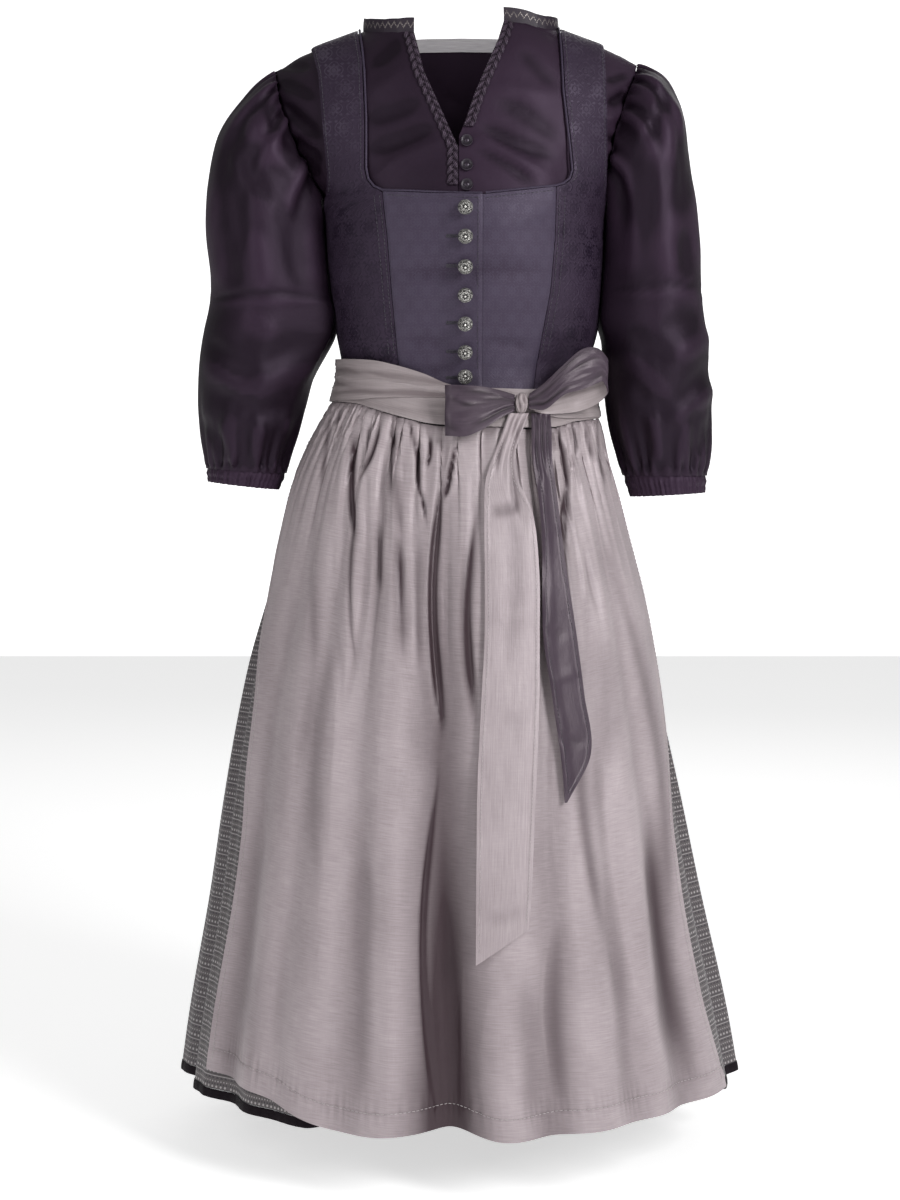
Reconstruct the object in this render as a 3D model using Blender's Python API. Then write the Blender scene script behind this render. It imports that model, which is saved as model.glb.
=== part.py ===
"""A dirndl, filled out with no wearer: a blouse with puff sleeves, a bodice with a gathered skirt, and an
apron tied with a bow. Lengths here are millimetres and become metres when a mesh is made. x runs to the
viewer's right, the front faces -y, z is up, and the origin is between the shoulders."""

import bisect
import math

import bmesh
import bpy
from mathutils import Vector

MM = 0.001

# Driving sizes
SEAM = 0.3  # half of the gap between two pieces at a seam
FINE_CLOTH = 1.2  # blouse, skirt and apron
BODICE_CLOTH = 1.6
BAND_CLOTH = 1.5  # waistband, sash and collar
BODICE_OUT = 3.8  # outer face of the bodice over the blouse
LAP_OUT = 2.3  # how much further out the left front lies where it laps over the right
APRON_OUT = 5.6
APRON_TOP_OUT = 6.9  # the gathers at the waist stand further out
BAND_OUT = 8.4
SASH_OUT = 11.0
TAIL_OUT = 7.3
TAIL_TOP_OUT = 13.1  # where the tails come out from under the knot
BACK_SASH_OUT = 6.9
SLEEVE_GAP = 0.65  # between the sleeve's head and the armhole
RIDGE = 34.0  # level of the shoulder line, read at the neck's centre
ARMPIT = -168.0
CAP = 115.0  # depth over which the body rounds to the shoulder line
BLOUSE_END = -235.0  # the blouse is cropped under the bust
WAIST = -380.0
WAIST_SPLIT = 0.5  # gap between the bodice's edge and the skirt's
HEM = -1092.0
BINDING = 7.5  # height of the velvet binding under the skirt's edge
LAP_X = 20.5  # edge of the front lap
BRAID_WIDTH = 10.5
CHEVRON = 9.3  # pitch of the plaited braid
COLLAR_HEIGHT = 13.5
BALL = 7.6  # radius of the bodice's ball buttons
BALL_LEVELS = (-190, -217.5, -246.5, -273.5, -302.5, -331.5, -359.5)
BALL_X = 3.5
BALL_PROFILE = ((0, 0.72), (2.6, 0.72), (2.6, 1.6), (5.8, 3), (BALL, 7.6), (5.8, 12.6), (0, 15.6))
RIM_BUTTON = 6.3  # radius of the blouse's buttons
RIM_BUTTON_LEVELS = (-121, -146.5, -167)
RIM_BUTTON_X = 5.0
RIM_PROFILE = ((0, 0.5), (2, 0.5), (2, 1.2), (RIM_BUTTON, 2.2), (5.6, 3.6), (4.3, 2.8), (0, 2.8))
PIPING_RADIUS = 1.2
PIPING_SIDE = 1.7  # from the neckline's edge to the middle of the piping
PIPING_OUT = 2.9
APRON_GATHERS = 26
SKIRT_FOLD = 15.0  # degrees from fold to fold round the back of the skirt
SKIRT_FOLDS = 24
SKIRT_GATHER = 6.0


class Table:
    """A short table with named columns, read by its first column along smooth or straight lines."""

    def __init__(self, names, *rows, smooth=True):
        rows = sorted(rows)
        self.keys = [row[0] for row in rows]
        self.columns = {name: [row[i] for row in rows] for i, name in enumerate(names.split())}
        self.smooth = smooth

    def slope(self, values, i):
        low, high = max(i - 1, 0), min(i + 1, len(values) - 1)
        return (values[high] - values[low]) / (self.keys[high] - self.keys[low])

    def at(self, name, key):
        keys, values = self.keys, self.columns[name]
        if key <= keys[0]:
            return values[0]
        if key >= keys[-1]:
            return values[-1]
        i = bisect.bisect_right(keys, key) - 1
        span = keys[i + 1] - keys[i]
        t = (key - keys[i]) / span
        straight = values[i] + (values[i + 1] - values[i]) * t
        if not self.smooth:
            return straight
        rise = (values[i + 1] - values[i]) / span
        start, end = self.slope(values, i) - rise, self.slope(values, i + 1) - rise
        return straight + span * t * (1 - t) * (start * (1 - t) - end * t)


# Half widths to the viewer's left and right and depths to front and back, by level. Square is the
# exponent of the ring: 1 is an ellipse, less is squarer.
FORM = Table(
    "level left right front back square",
    (-1100, 301, 297, 257, 270, 1),
    (-1022, 290, 283, 250, 262, 1),
    (-904, 269.5, 256, 231, 246, 1),
    (-808, 255.5, 236, 212, 231, 1),
    (-722, 241, 217, 193, 214, 1),
    (-653, 226, 203, 176, 198, 1),
    (-583, 205, 189, 158, 178, 0.98),
    (-522, 189, 173, 140, 158, 0.96),
    (-465, 173, 157.5, 122, 136, 0.94),
    (-423, 154, 146.5, 107, 115, 0.92),
    (-384, 131, 136, 92, 94, 0.9),
    (-350, 123, 131, 88, 86, 0.88),
    (-304, 130, 142, 97, 90, 0.86),
    (-244, 138, 147, 113, 98, 0.86),
    (-190, 141.5, 149, 121, 104, 0.86),
    (-168, 147.5, 153, 118, 106, 0.86),
    (-115, 150, 155, 104, 106, 0.86),
    (-60, 150, 155, 92, 101, 0.86),
    (34, 150, 155, 84, 93, 0.86),
)
# Height of the shoulder line by distance from the middle
SHOULDER = Table(
    "x z", (0, 34), (60, 30), (90, 17), (104, 9), (130, -0.5), (152, -8.5), (176, -20), (197, -32), (215, -44)
)
# The armhole seam: distance from the middle on each side
ARMHOLE = Table(
    "level left right",
    (-168, 147.5, 153),
    (-156, 156, 153.5),
    (-131, 165, 155),
    (-88, 175, 159.5),
    (-60, 182, 166),
    (-27, 190, 173),
    (15, 195, 184),
    (34, 197, 187),
)
ARMHOLE_SPREAD = 13.0  # how far the body's ring would reach past the seam, half way down it
# Neck and front edges of the blouse, x by level, a table for each side
BLOUSE_EDGE_LEFT = Table(
    "level x",
    (-235, -3.4), (-127, -3.4), (-107, -12.3), (-80, -23.6), (-47, -38), (0.5, -49),
    (3.2, -65), (10.6, -80), (18.7, -91), (27.3, -100), (34, -103.5),
    smooth=False,
)
BLOUSE_EDGE_RIGHT = Table(
    "level x",
    (-235, -2.8), (-116, -2.8), (-101.7, 3), (-72.5, 12.3), (-47, 22.7), (-11, 37.4), (13.5, 44),
    (15, 62), (17, 78), (21, 88), (28, 97), (34, 103),
    smooth=False,
)
BACK_NECK = Table("x level", (0, 3), (60, 3.4), (80, 11), (92, 19), (100, 27), (103.4, 34), smooth=False)
# Edges of the bodice's side fronts: inner is the neckline and then the princess seam, outer the armhole
SIDE_FRONT_LEFT = Table(
    "level inner outer",
    (-380, -61, -1), (-343, -64, -1), (-275, -70, -1), (-216, -74.3, -1), (-172.5, -79, -140),
    (-167, -88.5, -138.5), (-158, -95, -136.5), (-145, -97.5, -136), (-87, -98, -141),
    (-15, -101, -147), (34, -108, -157),
    smooth=False,
)
SIDE_FRONT_RIGHT = Table(
    "level inner outer",
    (-380, 72, 1), (-345, 76.3, 1), (-270, 89.5, 1), (-216, 93.6, 1), (-167, 94.5, 148.3),
    (-163, 103, 148.4), (-156, 110, 148.5), (-145, 113, 148.6), (-117, 111, 148.7),
    (-52, 105, 148.7), (34, 103, 148.7),
    smooth=False,
)
SIDE_BACK = Table(
    "level inner outer",
    (-380, 36, 1), (-335, 38, 1), (-250, 50, 1), (-190, 60, 1), (-184, 61, 141), (-168, 63.3, 139),
    (-150, 66, 136.5), (-120, 69, 137),
    (-76, 72, 139), (-71, 84, 140), (-60, 92, 142), (-30, 97, 145), (34, 106, 150),
    smooth=False,
)
SIDE_SEAM_TOP = -185.0  # below this the bodice's side pieces meet at the side
NECKLINE = Table(
    "x level", (-79, -172.5), (-40, -175.5), (0, -177.3), (LAP_X, -177.3), (60, -172.5), (94.5, -167)
)
# Levels of the apron's gather seam and hem, by turn round the body in degrees
APRON_SEAM = Table(
    "turn level", (-90, -384), (-50, -387.6), (-37, -394), (-23, -402), (-9, -409.5), (18, -412.6),
    (38, -412), (52, -405.7), (90, -400.5),
)
APRON_HEM = Table(
    "turn level", (-61, -1063), (-40, -1070), (-25, -1087), (-10, -1085), (0, -1085), (8, -1094),
    (20, -1088), (40, -1080), (65, -1078),
)
# How far round the apron reaches on each side, by level
APRON_EDGE = Table(
    "level left right",
    (-1086, -61, 65), (-990, -61, 61), (-830, -60, 63), (-768, -61.5, 68), (-680, -64, 80),
    (-610, -71, 86), (-500, -82, 88), (-384, -89.6, 89.6),
)
# The large folds of the front: turn at the waist and at the hem, depth at three levels, half width there
FRONT_FOLDS = [
    dict(top=-54, hem=-54, depths=(4, 7, 14), width=(4.5, 4)),
    dict(top=-38, hem=-40, depths=(7, 5, 6), width=(3.5, 4)),
    dict(top=-26, hem=-23.5, depths=(7, 7, 9), width=(3.5, 4)),
    dict(top=-14, hem=-9, depths=(6, 5, 0), width=(3, 5)),
    dict(top=-6, hem=-3, depths=(9, 18, 36), width=(4, 5.6)),
    dict(top=6, hem=3, depths=(5, 3, 0), width=(3, 5)),
    dict(top=27, hem=17.5, depths=(7, 9, 14), width=(4, 4.5)),
    dict(top=41.5, hem=36, depths=(6, 7, 9), width=(4, 4.5)),
    dict(top=56, hem=50, depths=(5, 8, 13), width=(4, 4.5)),
]
FOLDS_START, FOLDS_FULL, FOLDS_MIDDLE = -390.0, -450.0, -720.0
# The tails of the bow: left and right edges by level
LIGHT_TAIL = Table(
    "level left right",
    (-928, 12.6, 63), (-830, 13.4, 67), (-760, 14.5, 70.5), (-677, 18.5, 74), (-619, 21.5, 74.8),
    (-557, 22, 75), (-498, 22, 69), (-465, 23.6, 55), (-436, 33.4, 53), (-400, 46, 65),
)
LIGHT_TAIL_SLANT = 32.0
LIGHT_TAIL_LEVELS = (-400.5, -410, -422, -440, -465, -498, -557, -619, -677, -730, -780, -840, -890, -928)
DARK_TAIL_LEVELS = (-400.5, -410, -422, -440, -465, -495, -541, -600, -650, -700, -735, -780)
DARK_TAIL = Table(
    "level left right",
    (-780, 98, 100), (-735, 94, 124), (-677, 86, 118), (-619, 78, 111), (-541, 78, 100),
    (-495, 76, 95), (-454, 71, 90), (-429, 68, 87), (-400, 67, 85),
)
# Sleeve sections: where the outer and inner edges lie, and the half depth
SLEEVE_LEFT = Table(
    "row outer_x outer_z inner_x inner_z depth",
    (0, -193.7, -33.2, -146.6, -165.9, 60), (1, -212.9, -42.8, -149.5, -180.8, 66),
    (2, -238.6, -69.6, -149.8, -195.8, 72), (3, -260, -103.8, -149.8, -210.8, 76),
    (4, -269.6, -148.7, -149.4, -225.8, 78), (5, -271.2, -192.6, -148.4, -246.1, 78),
    (6, -267.5, -250.4, -146.6, -272.9, 76), (7, -268.6, -278.2, -147.7, -292.1, 74),
    (8, -277.1, -315.7, -150.9, -315.7, 74), (9, -281.4, -363.8, -158.4, -361.7, 72),
    (10, -280.3, -401.3, -169.1, -404.5, 66), (11, -273.9, -437.6, -181.9, -441.9, 56),
    (12, -271.8, -451.5, -187.3, -456.9, 48), (13, -269.6, -466.5, -195.8, -475.1, 44),
)
SLEEVE_RIGHT = Table(
    "row outer_x outer_z inner_x inner_z depth",
    (0, 183, -20.3, 153, -155.2, 60), (1, 201.2, -27.8, 155.2, -174.4, 66),
    (2, 221.5, -46, 155.6, -193.7, 72), (3, 235.4, -74.9, 155.4, -211.9, 76),
    (4, 244, -118.8, 154.6, -232.2, 78), (5, 248.8, -165.9, 153.2, -253.6, 78),
    (6, 254.7, -230, 151, -277.1, 76), (7, 258.9, -283.6, 149.6, -302.8, 75),
    (8, 264.3, -326.4, 149, -328.5, 74), (9, 267.5, -369.2, 150.5, -363.8, 70),
    (10, 268, -406.6, 155.6, -403.4, 64), (11, 265.9, -438.7, 165.5, -438.7, 54),
    (12, 262.2, -459, 173.3, -459, 47), (13, 260, -478.3, 181.9, -482.6, 43),
)
CUFF_ROW = 12
SLEEVE_COLUMNS = 20


def clamp(value):
    return min(max(value, 0.0), 1.0)


def ease(value):
    value = clamp(value)
    return value * value * (3 - 2 * value)


def mix(low, high, share):
    return low + (high - low) * share


def spread(low, high, count):
    return [mix(low, high, i / (count - 1)) for i in range(count)]


def half_width(side, level):
    """The body's half width. Above the armpits it reaches a little past the armhole seam."""
    if level <= ARMPIT:
        return FORM.at(side, level)
    down = (RIDGE - level) / (RIDGE - ARMPIT)
    return ARMHOLE.at(side, level) + ARMHOLE_SPREAD * math.sin(math.pi * down)


def shoulder_slope(x, level):
    """How far a row of this level drops at x, following the shoulder line and fading to the armpits."""
    return (SHOULDER.at("z", abs(x)) - RIDGE) * clamp((level - ARMPIT) / (RIDGE - ARMPIT))


def body(turn, level):
    """A point of the smooth body, from the shoulders to the hem. turn is in degrees from centre front."""
    level = min(level, RIDGE)
    s, c = math.sin(math.radians(turn)), math.cos(math.radians(turn))
    square = FORM.at("square", level)
    x = math.copysign(half_width("left" if s < 0 else "right", level) * abs(s) ** square, s)
    z = level + shoulder_slope(x, level)
    rounded = 1 - clamp((SHOULDER.at("z", abs(x)) - z) / CAP)
    depth = FORM.at("front" if c > 0 else "back", level) * abs(c) ** square
    y = depth * math.sqrt(1 - rounded * rounded) + SEAM
    return Vector((x, -math.copysign(y, c), z))


def front_fold_depth(turn, level):
    """How deep the front's large folds lie, a trough for each row of their table."""
    full = ease((FOLDS_START - level) / (FOLDS_START - FOLDS_FULL))
    down = clamp((FOLDS_FULL - level) / (FOLDS_FULL - HEM))
    depth = 0.0
    for fold in FRONT_FOLDS:
        waist, middle, hem = fold["depths"]
        if level > FOLDS_MIDDLE:
            deep = mix(waist, middle, ease((FOLDS_FULL - level) / (FOLDS_FULL - FOLDS_MIDDLE)))
        else:
            deep = mix(middle, hem, ease((FOLDS_MIDDLE - level) / (FOLDS_MIDDLE - HEM)))
        away = (turn - mix(fold["top"], fold["hem"], down)) / mix(*fold["width"], down)
        depth += deep * full * math.exp(-away * away / 2)
    return depth


def back_fold_depth(turn, level):
    """How deep the folds lie round the sides and back of the skirt, outside the apron."""
    turn = (turn + 180) % 360 - 180
    side = "left" if turn < 0 else "right"
    outside = ease((abs(turn) - abs(APRON_EDGE.at(side, level)) - 1) / 9)
    down = clamp((FOLDS_START - level) / (FOLDS_START - HEM))
    number = round(turn / SKIRT_FOLD)
    uneven = 1 + 0.3 * math.sin(2.3 * (number % SKIRT_FOLDS))
    wave = 0.5 + 0.5 * math.cos(math.tau * (turn / SKIRT_FOLD - number))
    gather = 0.5 + 0.5 * math.cos(math.tau * turn / SKIRT_GATHER)
    small = 3.2 * gather * (1 - ease(down * 4.5))
    return outside * (mix(2, 17, down ** 0.8) * uneven * wave * ease(down * 4) + small)


def skirt(turn, level):
    """The skirt's own surface: the body's form with all of its folds pressed in."""
    point = body(turn, level)
    signed = (turn + 180) % 360 - 180
    depth = front_fold_depth(signed, level) + back_fold_depth(turn, level)
    inward = Vector((-point.x, -point.y, 0)).normalized()
    return point + inward * depth


def apron(turn, level):
    """The skirt's surface again, with the apron's fine gathers under its seam."""
    seam = APRON_SEAM.at("level", turn)
    gather = 0.5 + 0.5 * math.cos(math.pi * (turn + 90) / (180 / (2 * APRON_GATHERS)))
    depth = 2.6 * gather * (1 - ease((seam - level) / 150))
    point = skirt(turn, level)
    return point + Vector((-point.x, -point.y, 0)).normalized() * depth


def outside(surface, turn, level, out):
    """The point that lies out millimetres outside a surface."""
    step = 0.15
    across = surface(turn + step, level) - surface(turn - step, level)
    up = surface(turn, level + step) - surface(turn, level - step)
    return surface(turn, level) + across.cross(up).normalized() * out


def turn_at(x, level):
    """The front turn at which the body's row of this level reaches x."""
    half = half_width("left" if x < 0 else "right", level)
    share = clamp(abs(x) / half) ** (1 / FORM.at("square", level))
    return math.copysign(math.degrees(math.asin(share)), x)


def material(name, colour, roughness, metallic=0.0):
    found = bpy.data.materials.get(name)
    if found:
        return found
    made = bpy.data.materials.new(name)
    made.use_nodes = True
    shader = made.node_tree.nodes["Principled BSDF"]
    shader.inputs["Base Color"].default_value = (*colour, 1)
    shader.inputs["Roughness"].default_value = roughness
    shader.inputs["Metallic"].default_value = metallic
    return made


def add_mesh(name, points, faces, finish):
    """A closed mesh from points in millimetres, its faces turned out."""
    mesh = bpy.data.meshes.new(name)
    mesh.from_pydata([tuple(p * MM) for p in points], [], faces)
    shape = bmesh.new()
    shape.from_mesh(mesh)
    if shape.calc_volume(signed=True) < 0:
        bmesh.ops.reverse_faces(shape, faces=shape.faces)
    shape.to_mesh(mesh)
    shape.free()
    mesh.shade_smooth()
    mesh.set_sharp_from_angle(angle=math.radians(50))
    mesh.materials.append(finish)
    made = bpy.data.objects.new(name, mesh)
    bpy.context.scene.collection.objects.link(made)
    return made


def zip_rows(first, second):
    """Triangles between two rows of point numbers, which may differ in length. Both faces of a wall get the
    same diagonals, so that they stay apart where the cloth twists."""
    faces, i, j = [], 0, 0
    while i < len(first) - 1 or j < len(second) - 1:
        if len(first) == len(second):
            faces.append((first[i], first[i + 1], second[j + 1]))
            faces.append((first[i], second[j + 1], second[j]))
            i, j = i + 1, j + 1
        elif (i + 1) * (len(second) - 1) <= (j + 1) * (len(first) - 1) and i < len(first) - 1:
            faces.append((first[i], first[i + 1], second[j]))
            i += 1
        else:
            faces.append((first[i], second[j + 1], second[j]))
            j += 1
    return faces


def wall(name, rows, finish, closed=False):
    """One closed cloth wall from rows of (outer, inner) points. A closed wall is a tube."""
    points, outer, inner = [], [], []
    for row in rows:
        for side, numbers in ((0, outer), (1, inner)):
            start = len(points)
            points += [pair[side] for pair in row]
            numbers.append(list(range(start, len(points))) + ([start] if closed else []))
    faces = []
    for first, second in zip(outer, outer[1:]):
        faces += zip_rows(first, second)
    for first, second in zip(inner, inner[1:]):
        faces += [tuple(reversed(face)) for face in zip_rows(first, second)]
    faces += [tuple(reversed(face)) for face in zip_rows(outer[0], inner[0])]
    faces += zip_rows(outer[-1], inner[-1])
    if not closed:
        faces += zip_rows([row[0] for row in outer], [row[0] for row in inner])
        faces += [tuple(reversed(face)) for face in zip_rows([r[-1] for r in outer], [r[-1] for r in inner])]
    return add_mesh(name, points, faces, finish)


def cloth(name, surface, rows, out, thick, finish):
    """A wall over rows of (turn, level) places. out is a number or a function of the place."""
    reach = out if callable(out) else lambda turn, level: out
    points = []
    for row in rows:
        outs = [(place, reach(*place)) for place in row]
        points.append([(outside(surface, *at, far), outside(surface, *at, far - thick)) for at, far in outs])
    return wall(name, points, finish)


def lathe(name, profile, centre, axis, finish, sides=8):
    """A turned piece: profile is (radius, height) from its foot to its top, both ends on the axis."""
    axis = axis.normalized()
    across = axis.cross(Vector((0, 0, 1))).normalized()
    up = across.cross(axis)
    points, faces = [centre + axis * profile[0][1]], []
    for radius, height in profile[1:-1]:
        for i in range(sides):
            a = math.tau * i / sides
            points.append(centre + axis * height + (across * math.cos(a) + up * math.sin(a)) * radius)
    points.append(centre + axis * profile[-1][1])
    last = len(points) - 1
    for i in range(sides):
        j = (i + 1) % sides
        faces.append((0, 1 + j, 1 + i))
        for ring in range(len(profile) - 3):
            low, high = 1 + ring * sides, 1 + (ring + 1) * sides
            faces.append((low + i, low + j, high + j, high + i))
        top = 1 + (len(profile) - 3) * sides
        faces.append((top + i, top + j, last))
    return add_mesh(name, points, faces, finish)


def tube(name, route, radius, finish, sides=5):
    """A round cord of cloth along a route of points."""
    rows = []
    for i, point in enumerate(route):
        along = (route[min(i + 1, len(route) - 1)] - route[max(i - 1, 0)]).normalized()
        out = Vector((point.x, point.y, 0)).normalized()
        across = along.cross(out).normalized()
        out = across.cross(along)
        angles = [math.tau * k / sides for k in range(sides)]
        rows.append([point + (out * math.cos(a) + across * math.sin(a)) * radius for a in angles])
    points = [p for row in rows for p in row]
    faces = [tuple(range(sides)), tuple(reversed(range(len(points) - sides, len(points))))]
    for r in range(len(rows) - 1):
        for k in range(sides):
            low, high = r * sides, (r + 1) * sides
            faces.append((low + k, high + k, high + (k + 1) % sides, low + (k + 1) % sides))
    return add_mesh(name, points, faces, finish)


def armhole_turn(side, level):
    sign = -1 if side == "left" else 1
    return turn_at(sign * (ARMHOLE.at(side, level) - 2 * SEAM), level) if level > ARMPIT else sign * 90


def under_bodice(turn, level):
    """The blouse lies a little further in where the bodice presses on it."""
    round_side = ease((abs(turn) - 28) / 12)
    return -2.6 * max(round_side * ease((-95 - level) / 45), ease((-180 - level) / 20))


def make_blouse_front(side, edge):
    rows = []
    levels = {level for level in edge.keys if level > BLOUSE_END} | {-25, -92, -150, ARMPIT, -200, BLOUSE_END}
    for level in sorted(levels, reverse=True):
        inner = turn_at(edge.at("x", level), level)
        rows.append([(turn, level) for turn in spread(inner, armhole_turn(side, level), 7)])
    cloth(f"blouse_front_{side}", body, rows, under_bodice, FINE_CLOTH, BLOUSE)


def make_blouse_back():
    """The back, with columns at chosen places along the shoulder and neck."""
    columns = (-1, -0.76, -0.525, -0.467, -0.406, -0.305, 0, 0.32, 0.43, 0.49, 0.55, 0.78, 1)
    downs = (0, 0.02, 0.08, 0.18, 0.32, 0.46, 0.6, 0.71, 0.78, 0.85, 1)
    rows = []
    for down in downs:
        row = []
        for share in columns:
            side = "left" if share < 0 else "right"
            top = BACK_NECK.at("level", abs(share) * ARMHOLE.at(side, RIDGE))
            level = mix(top, BLOUSE_END, down)
            edge = 180 - abs(armhole_turn(side, level)) if level > ARMPIT else 90.01
            edge_x = (ARMHOLE.at(side, level) - 2 * SEAM) if level > ARMPIT else half_width(side, level)
            turn = 180 - abs(turn_at(abs(share) * edge_x * (1 if share > 0 else -1), level))
            turn = max(turn, edge)
            row.append((turn if share > 0 else 360 - turn, level))
        rows.append(list(reversed(row)))
    cloth("blouse_back", body, rows, under_bodice, FINE_CLOTH, BLOUSE)


def stand(name, edge_points):
    """A stand of the collar on a stretch of the neck's edge."""
    rows = []
    for height in (1.3, COLLAR_HEIGHT * 0.5, COLLAR_HEIGHT):
        row = []
        for point in edge_points:
            away = Vector((point.x / 103**2, point.y / 62**2, 0)).normalized()
            lean = 0.06 * height
            outer = point + Vector((0, 0, height)) - away * lean
            row.append((outer, outer - away * BAND_CLOTH))
        rows.append(row)
    wall(name, rows, BRAID)


def make_collar():
    left = [body(turn_at(BLOUSE_EDGE_LEFT.at("x", lv), lv), lv) for lv in (33.9, 27.3, 18.7, 10.6, 3.2, 0.5)]
    right = [body(turn_at(BLOUSE_EDGE_RIGHT.at("x", lv), lv), lv) for lv in (33.9, 28, 21, 17, 15, 13.5)]
    back = []
    for x in (-103.2, -92, -80, -60, -30, 0, 30, 60, 80, 92, 102.8):
        level = BACK_NECK.at("level", abs(x))
        back.append(body(180 - turn_at(x, level), min(level, 33.9)))
    stand("collar_left", left)
    stand("collar_right", right)
    stand("collar_back", back)


def make_braid(side, edge, top, bottom, sign):
    """The plaited braid: rows shaped like a V, crest and trough in turn."""
    count = 2 * round((top - bottom) / CHEVRON)
    rows = []
    for i in range(count + 1):
        level = mix(top - 2, bottom + 4, i / count)
        raised = 2.9 if i % 2 else 1.9
        row = []
        for share in (0.04, 0.5, 1):
            v_shape = level + (2.4 if share != 0.5 else -1.6)
            x = edge.at("x", level) + sign * BRAID_WIDTH * 1.05 * share
            turn = turn_at(x, v_shape)
            row.append((outside(body, turn, v_shape, raised), outside(body, turn, v_shape, 0.5)))
        rows.append(row)
    wall(f"braid_{side}", rows, BRAID)


def make_side_front(side, edges):
    more = {-190, -245, -304, -355, -72, -50, -30, -8, 10, 24}
    levels = sorted({k for k in edges.keys if k > WAIST} | more, reverse=True)
    sign = -1 if side == "left" else 1
    rows = []
    for level in levels + [WAIST]:
        inner = edges.at("inner", level) + sign * 0.3
        if level < SIDE_SEAM_TOP:
            outer = sign * 90
        else:
            outer = turn_at(edges.at("outer", level), level)
        rows.append([(turn, level) for turn in spread(turn_at(inner, level), outer, 6)])
    cloth(f"bodice_side_front_{side}", body, rows, BODICE_OUT, BODICE_CLOTH, BODICE)


def lapped(turn, level):
    """The left front lies further out near its lap."""
    return BODICE_OUT + LAP_OUT * ease((body(turn, level).x + 27) / 18)


def make_front(side):
    rows = []
    for down in (0, 0.08, 0.2, 0.35, 0.5, 0.65, 0.8, 0.92, 1):
        row = []
        for share in spread(0, 1, 7):
            level = -175.0
            for _ in range(3):
                if side == "left":
                    x = mix(SIDE_FRONT_LEFT.at("inner", level) + 0.3, LAP_X, share)
                else:
                    x = mix(-5, SIDE_FRONT_RIGHT.at("inner", level) - 0.3, share)
                level = mix(NECKLINE.at("level", x), WAIST, down)
            row.append((turn_at(x, level), level))
        rows.append(row)
    cloth(f"bodice_front_{side}", body, rows, lapped if side == "left" else BODICE_OUT, BODICE_CLOTH, SATIN)


def make_side_back(side):
    sign = -1 if side == "left" else 1
    levels = sorted({k for k in SIDE_BACK.keys if k > WAIST} | {-304, -355, -215, 24, 10, -8}, reverse=True)
    rows = []
    for level in levels + [WAIST]:
        inner = 180 - turn_at(SIDE_BACK.at("inner", level) + 0.3, level)
        outer = 90.01 if level < SIDE_SEAM_TOP else 180 - turn_at(SIDE_BACK.at("outer", level), level)
        rows.append([(sign * turn, level) for turn in spread(inner, outer, 6)])
    cloth(f"bodice_side_back_{side}", body, rows, BODICE_OUT, BODICE_CLOTH, BODICE)


def make_back():
    rows = []
    for level in (-76.5, -90, -120, -150, -168, -190, -215, -250, -304, -335, -355, WAIST):
        edge = 180 - turn_at(SIDE_BACK.at("inner", level) - 0.3, level)
        rows.append([(turn, level) for turn in spread(edge, 360 - edge, 7)])
    cloth("bodice_back", body, rows, BODICE_OUT, BODICE_CLOTH, BODICE)


def piping(name, places, behind=False):
    """Piping beside an edge given as (x, level) places, shifted square to it on the neck's side."""
    route = []
    for i, (x, level) in enumerate(places):
        before, after = places[max(i - 1, 0)], places[min(i + 1, len(places) - 1)]
        dx, dz = after[0] - before[0], after[1] - before[1]
        size = math.hypot(dx, dz)
        x, level = x - dz / size * PIPING_SIDE, level + dx / size * PIPING_SIDE
        turn = turn_at(x, level)
        place = (180 - turn if behind else turn, min(level, RIDGE - 0.4))
        route.append(outside(body, *place, PIPING_OUT))
    tube(name, route, PIPING_RADIUS, BODICE)


def make_piping():
    levels = (32.5, 20, 0, -30, -87, -125, -145, -158, -167, -172.5)
    left = [(SIDE_FRONT_LEFT.at("inner", k), k) for k in levels]
    left += [(x, NECKLINE.at("level", x)) for x in (-60, -30, 0, LAP_X)]
    right = [(x, NECKLINE.at("level", x)) for x in (LAP_X + 3.6, 45, 70, 94.5)]
    levels = (-163, -156, -145, -117, -85, -52, -20, 0, 20, 32.5)
    right += [(SIDE_FRONT_RIGHT.at("inner", k), k) for k in levels]
    piping("piping_left", left)
    piping("piping_right", right)
    half = [(SIDE_BACK.at("inner", k), k) for k in (32.5, 20, 0, -30, -60, -71, -76)]
    half += [(40, -76.5), (0, -76.5)]
    back = [(-x, level) for x, level in half] + list(reversed(half[:-1]))
    piping("piping_back", back, behind=True)


def sleeve_point(side, sections, angle, row):
    """A point of the sleeve: angle 0 is its outer edge and 90 its front; row 0 is the armhole seam."""
    a = math.radians(angle)
    outer = Vector((sections.at("outer_x", row), 0, sections.at("outer_z", row)))
    inner = Vector((sections.at("inner_x", row), 0, sections.at("inner_z", row)))
    gathers = 0.5 + 0.5 * math.cos(SLEEVE_COLUMNS / 2 * a)
    pull = 1.6 * math.exp(-((row - CUFF_ROW) / 0.9) ** 2) + 0.9 * math.exp(-((row / 0.7) ** 2))
    folds = 3.0 * math.sin(3 * a + 1.3 * row) * ease((row - 7) / 2) * ease((CUFF_ROW - row) / 1.2)
    size = 1 - (pull * gathers + folds * 0.5) / 60
    ring = (outer + inner) / 2 + (outer - inner) / 2 * math.cos(a) * size
    ring.y = -sections.at("depth", row) * math.sin(a) * size
    seam_share = 1 - ease(row / 1.6)
    if seam_share > 0:
        level = mix(ARMPIT, RIDGE, 0.5 + 0.5 * math.cos(a))
        sign = -1 if side == "left" else 1
        turn = turn_at(sign * ARMHOLE.at(side, level), level) if level > ARMPIT else sign * 90
        seam = body(turn if math.sin(a) >= 0 else 180 - turn, level)
        seam.x += sign * SLEEVE_GAP
        ring = mix(ring, seam, seam_share)
    return ring


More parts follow.
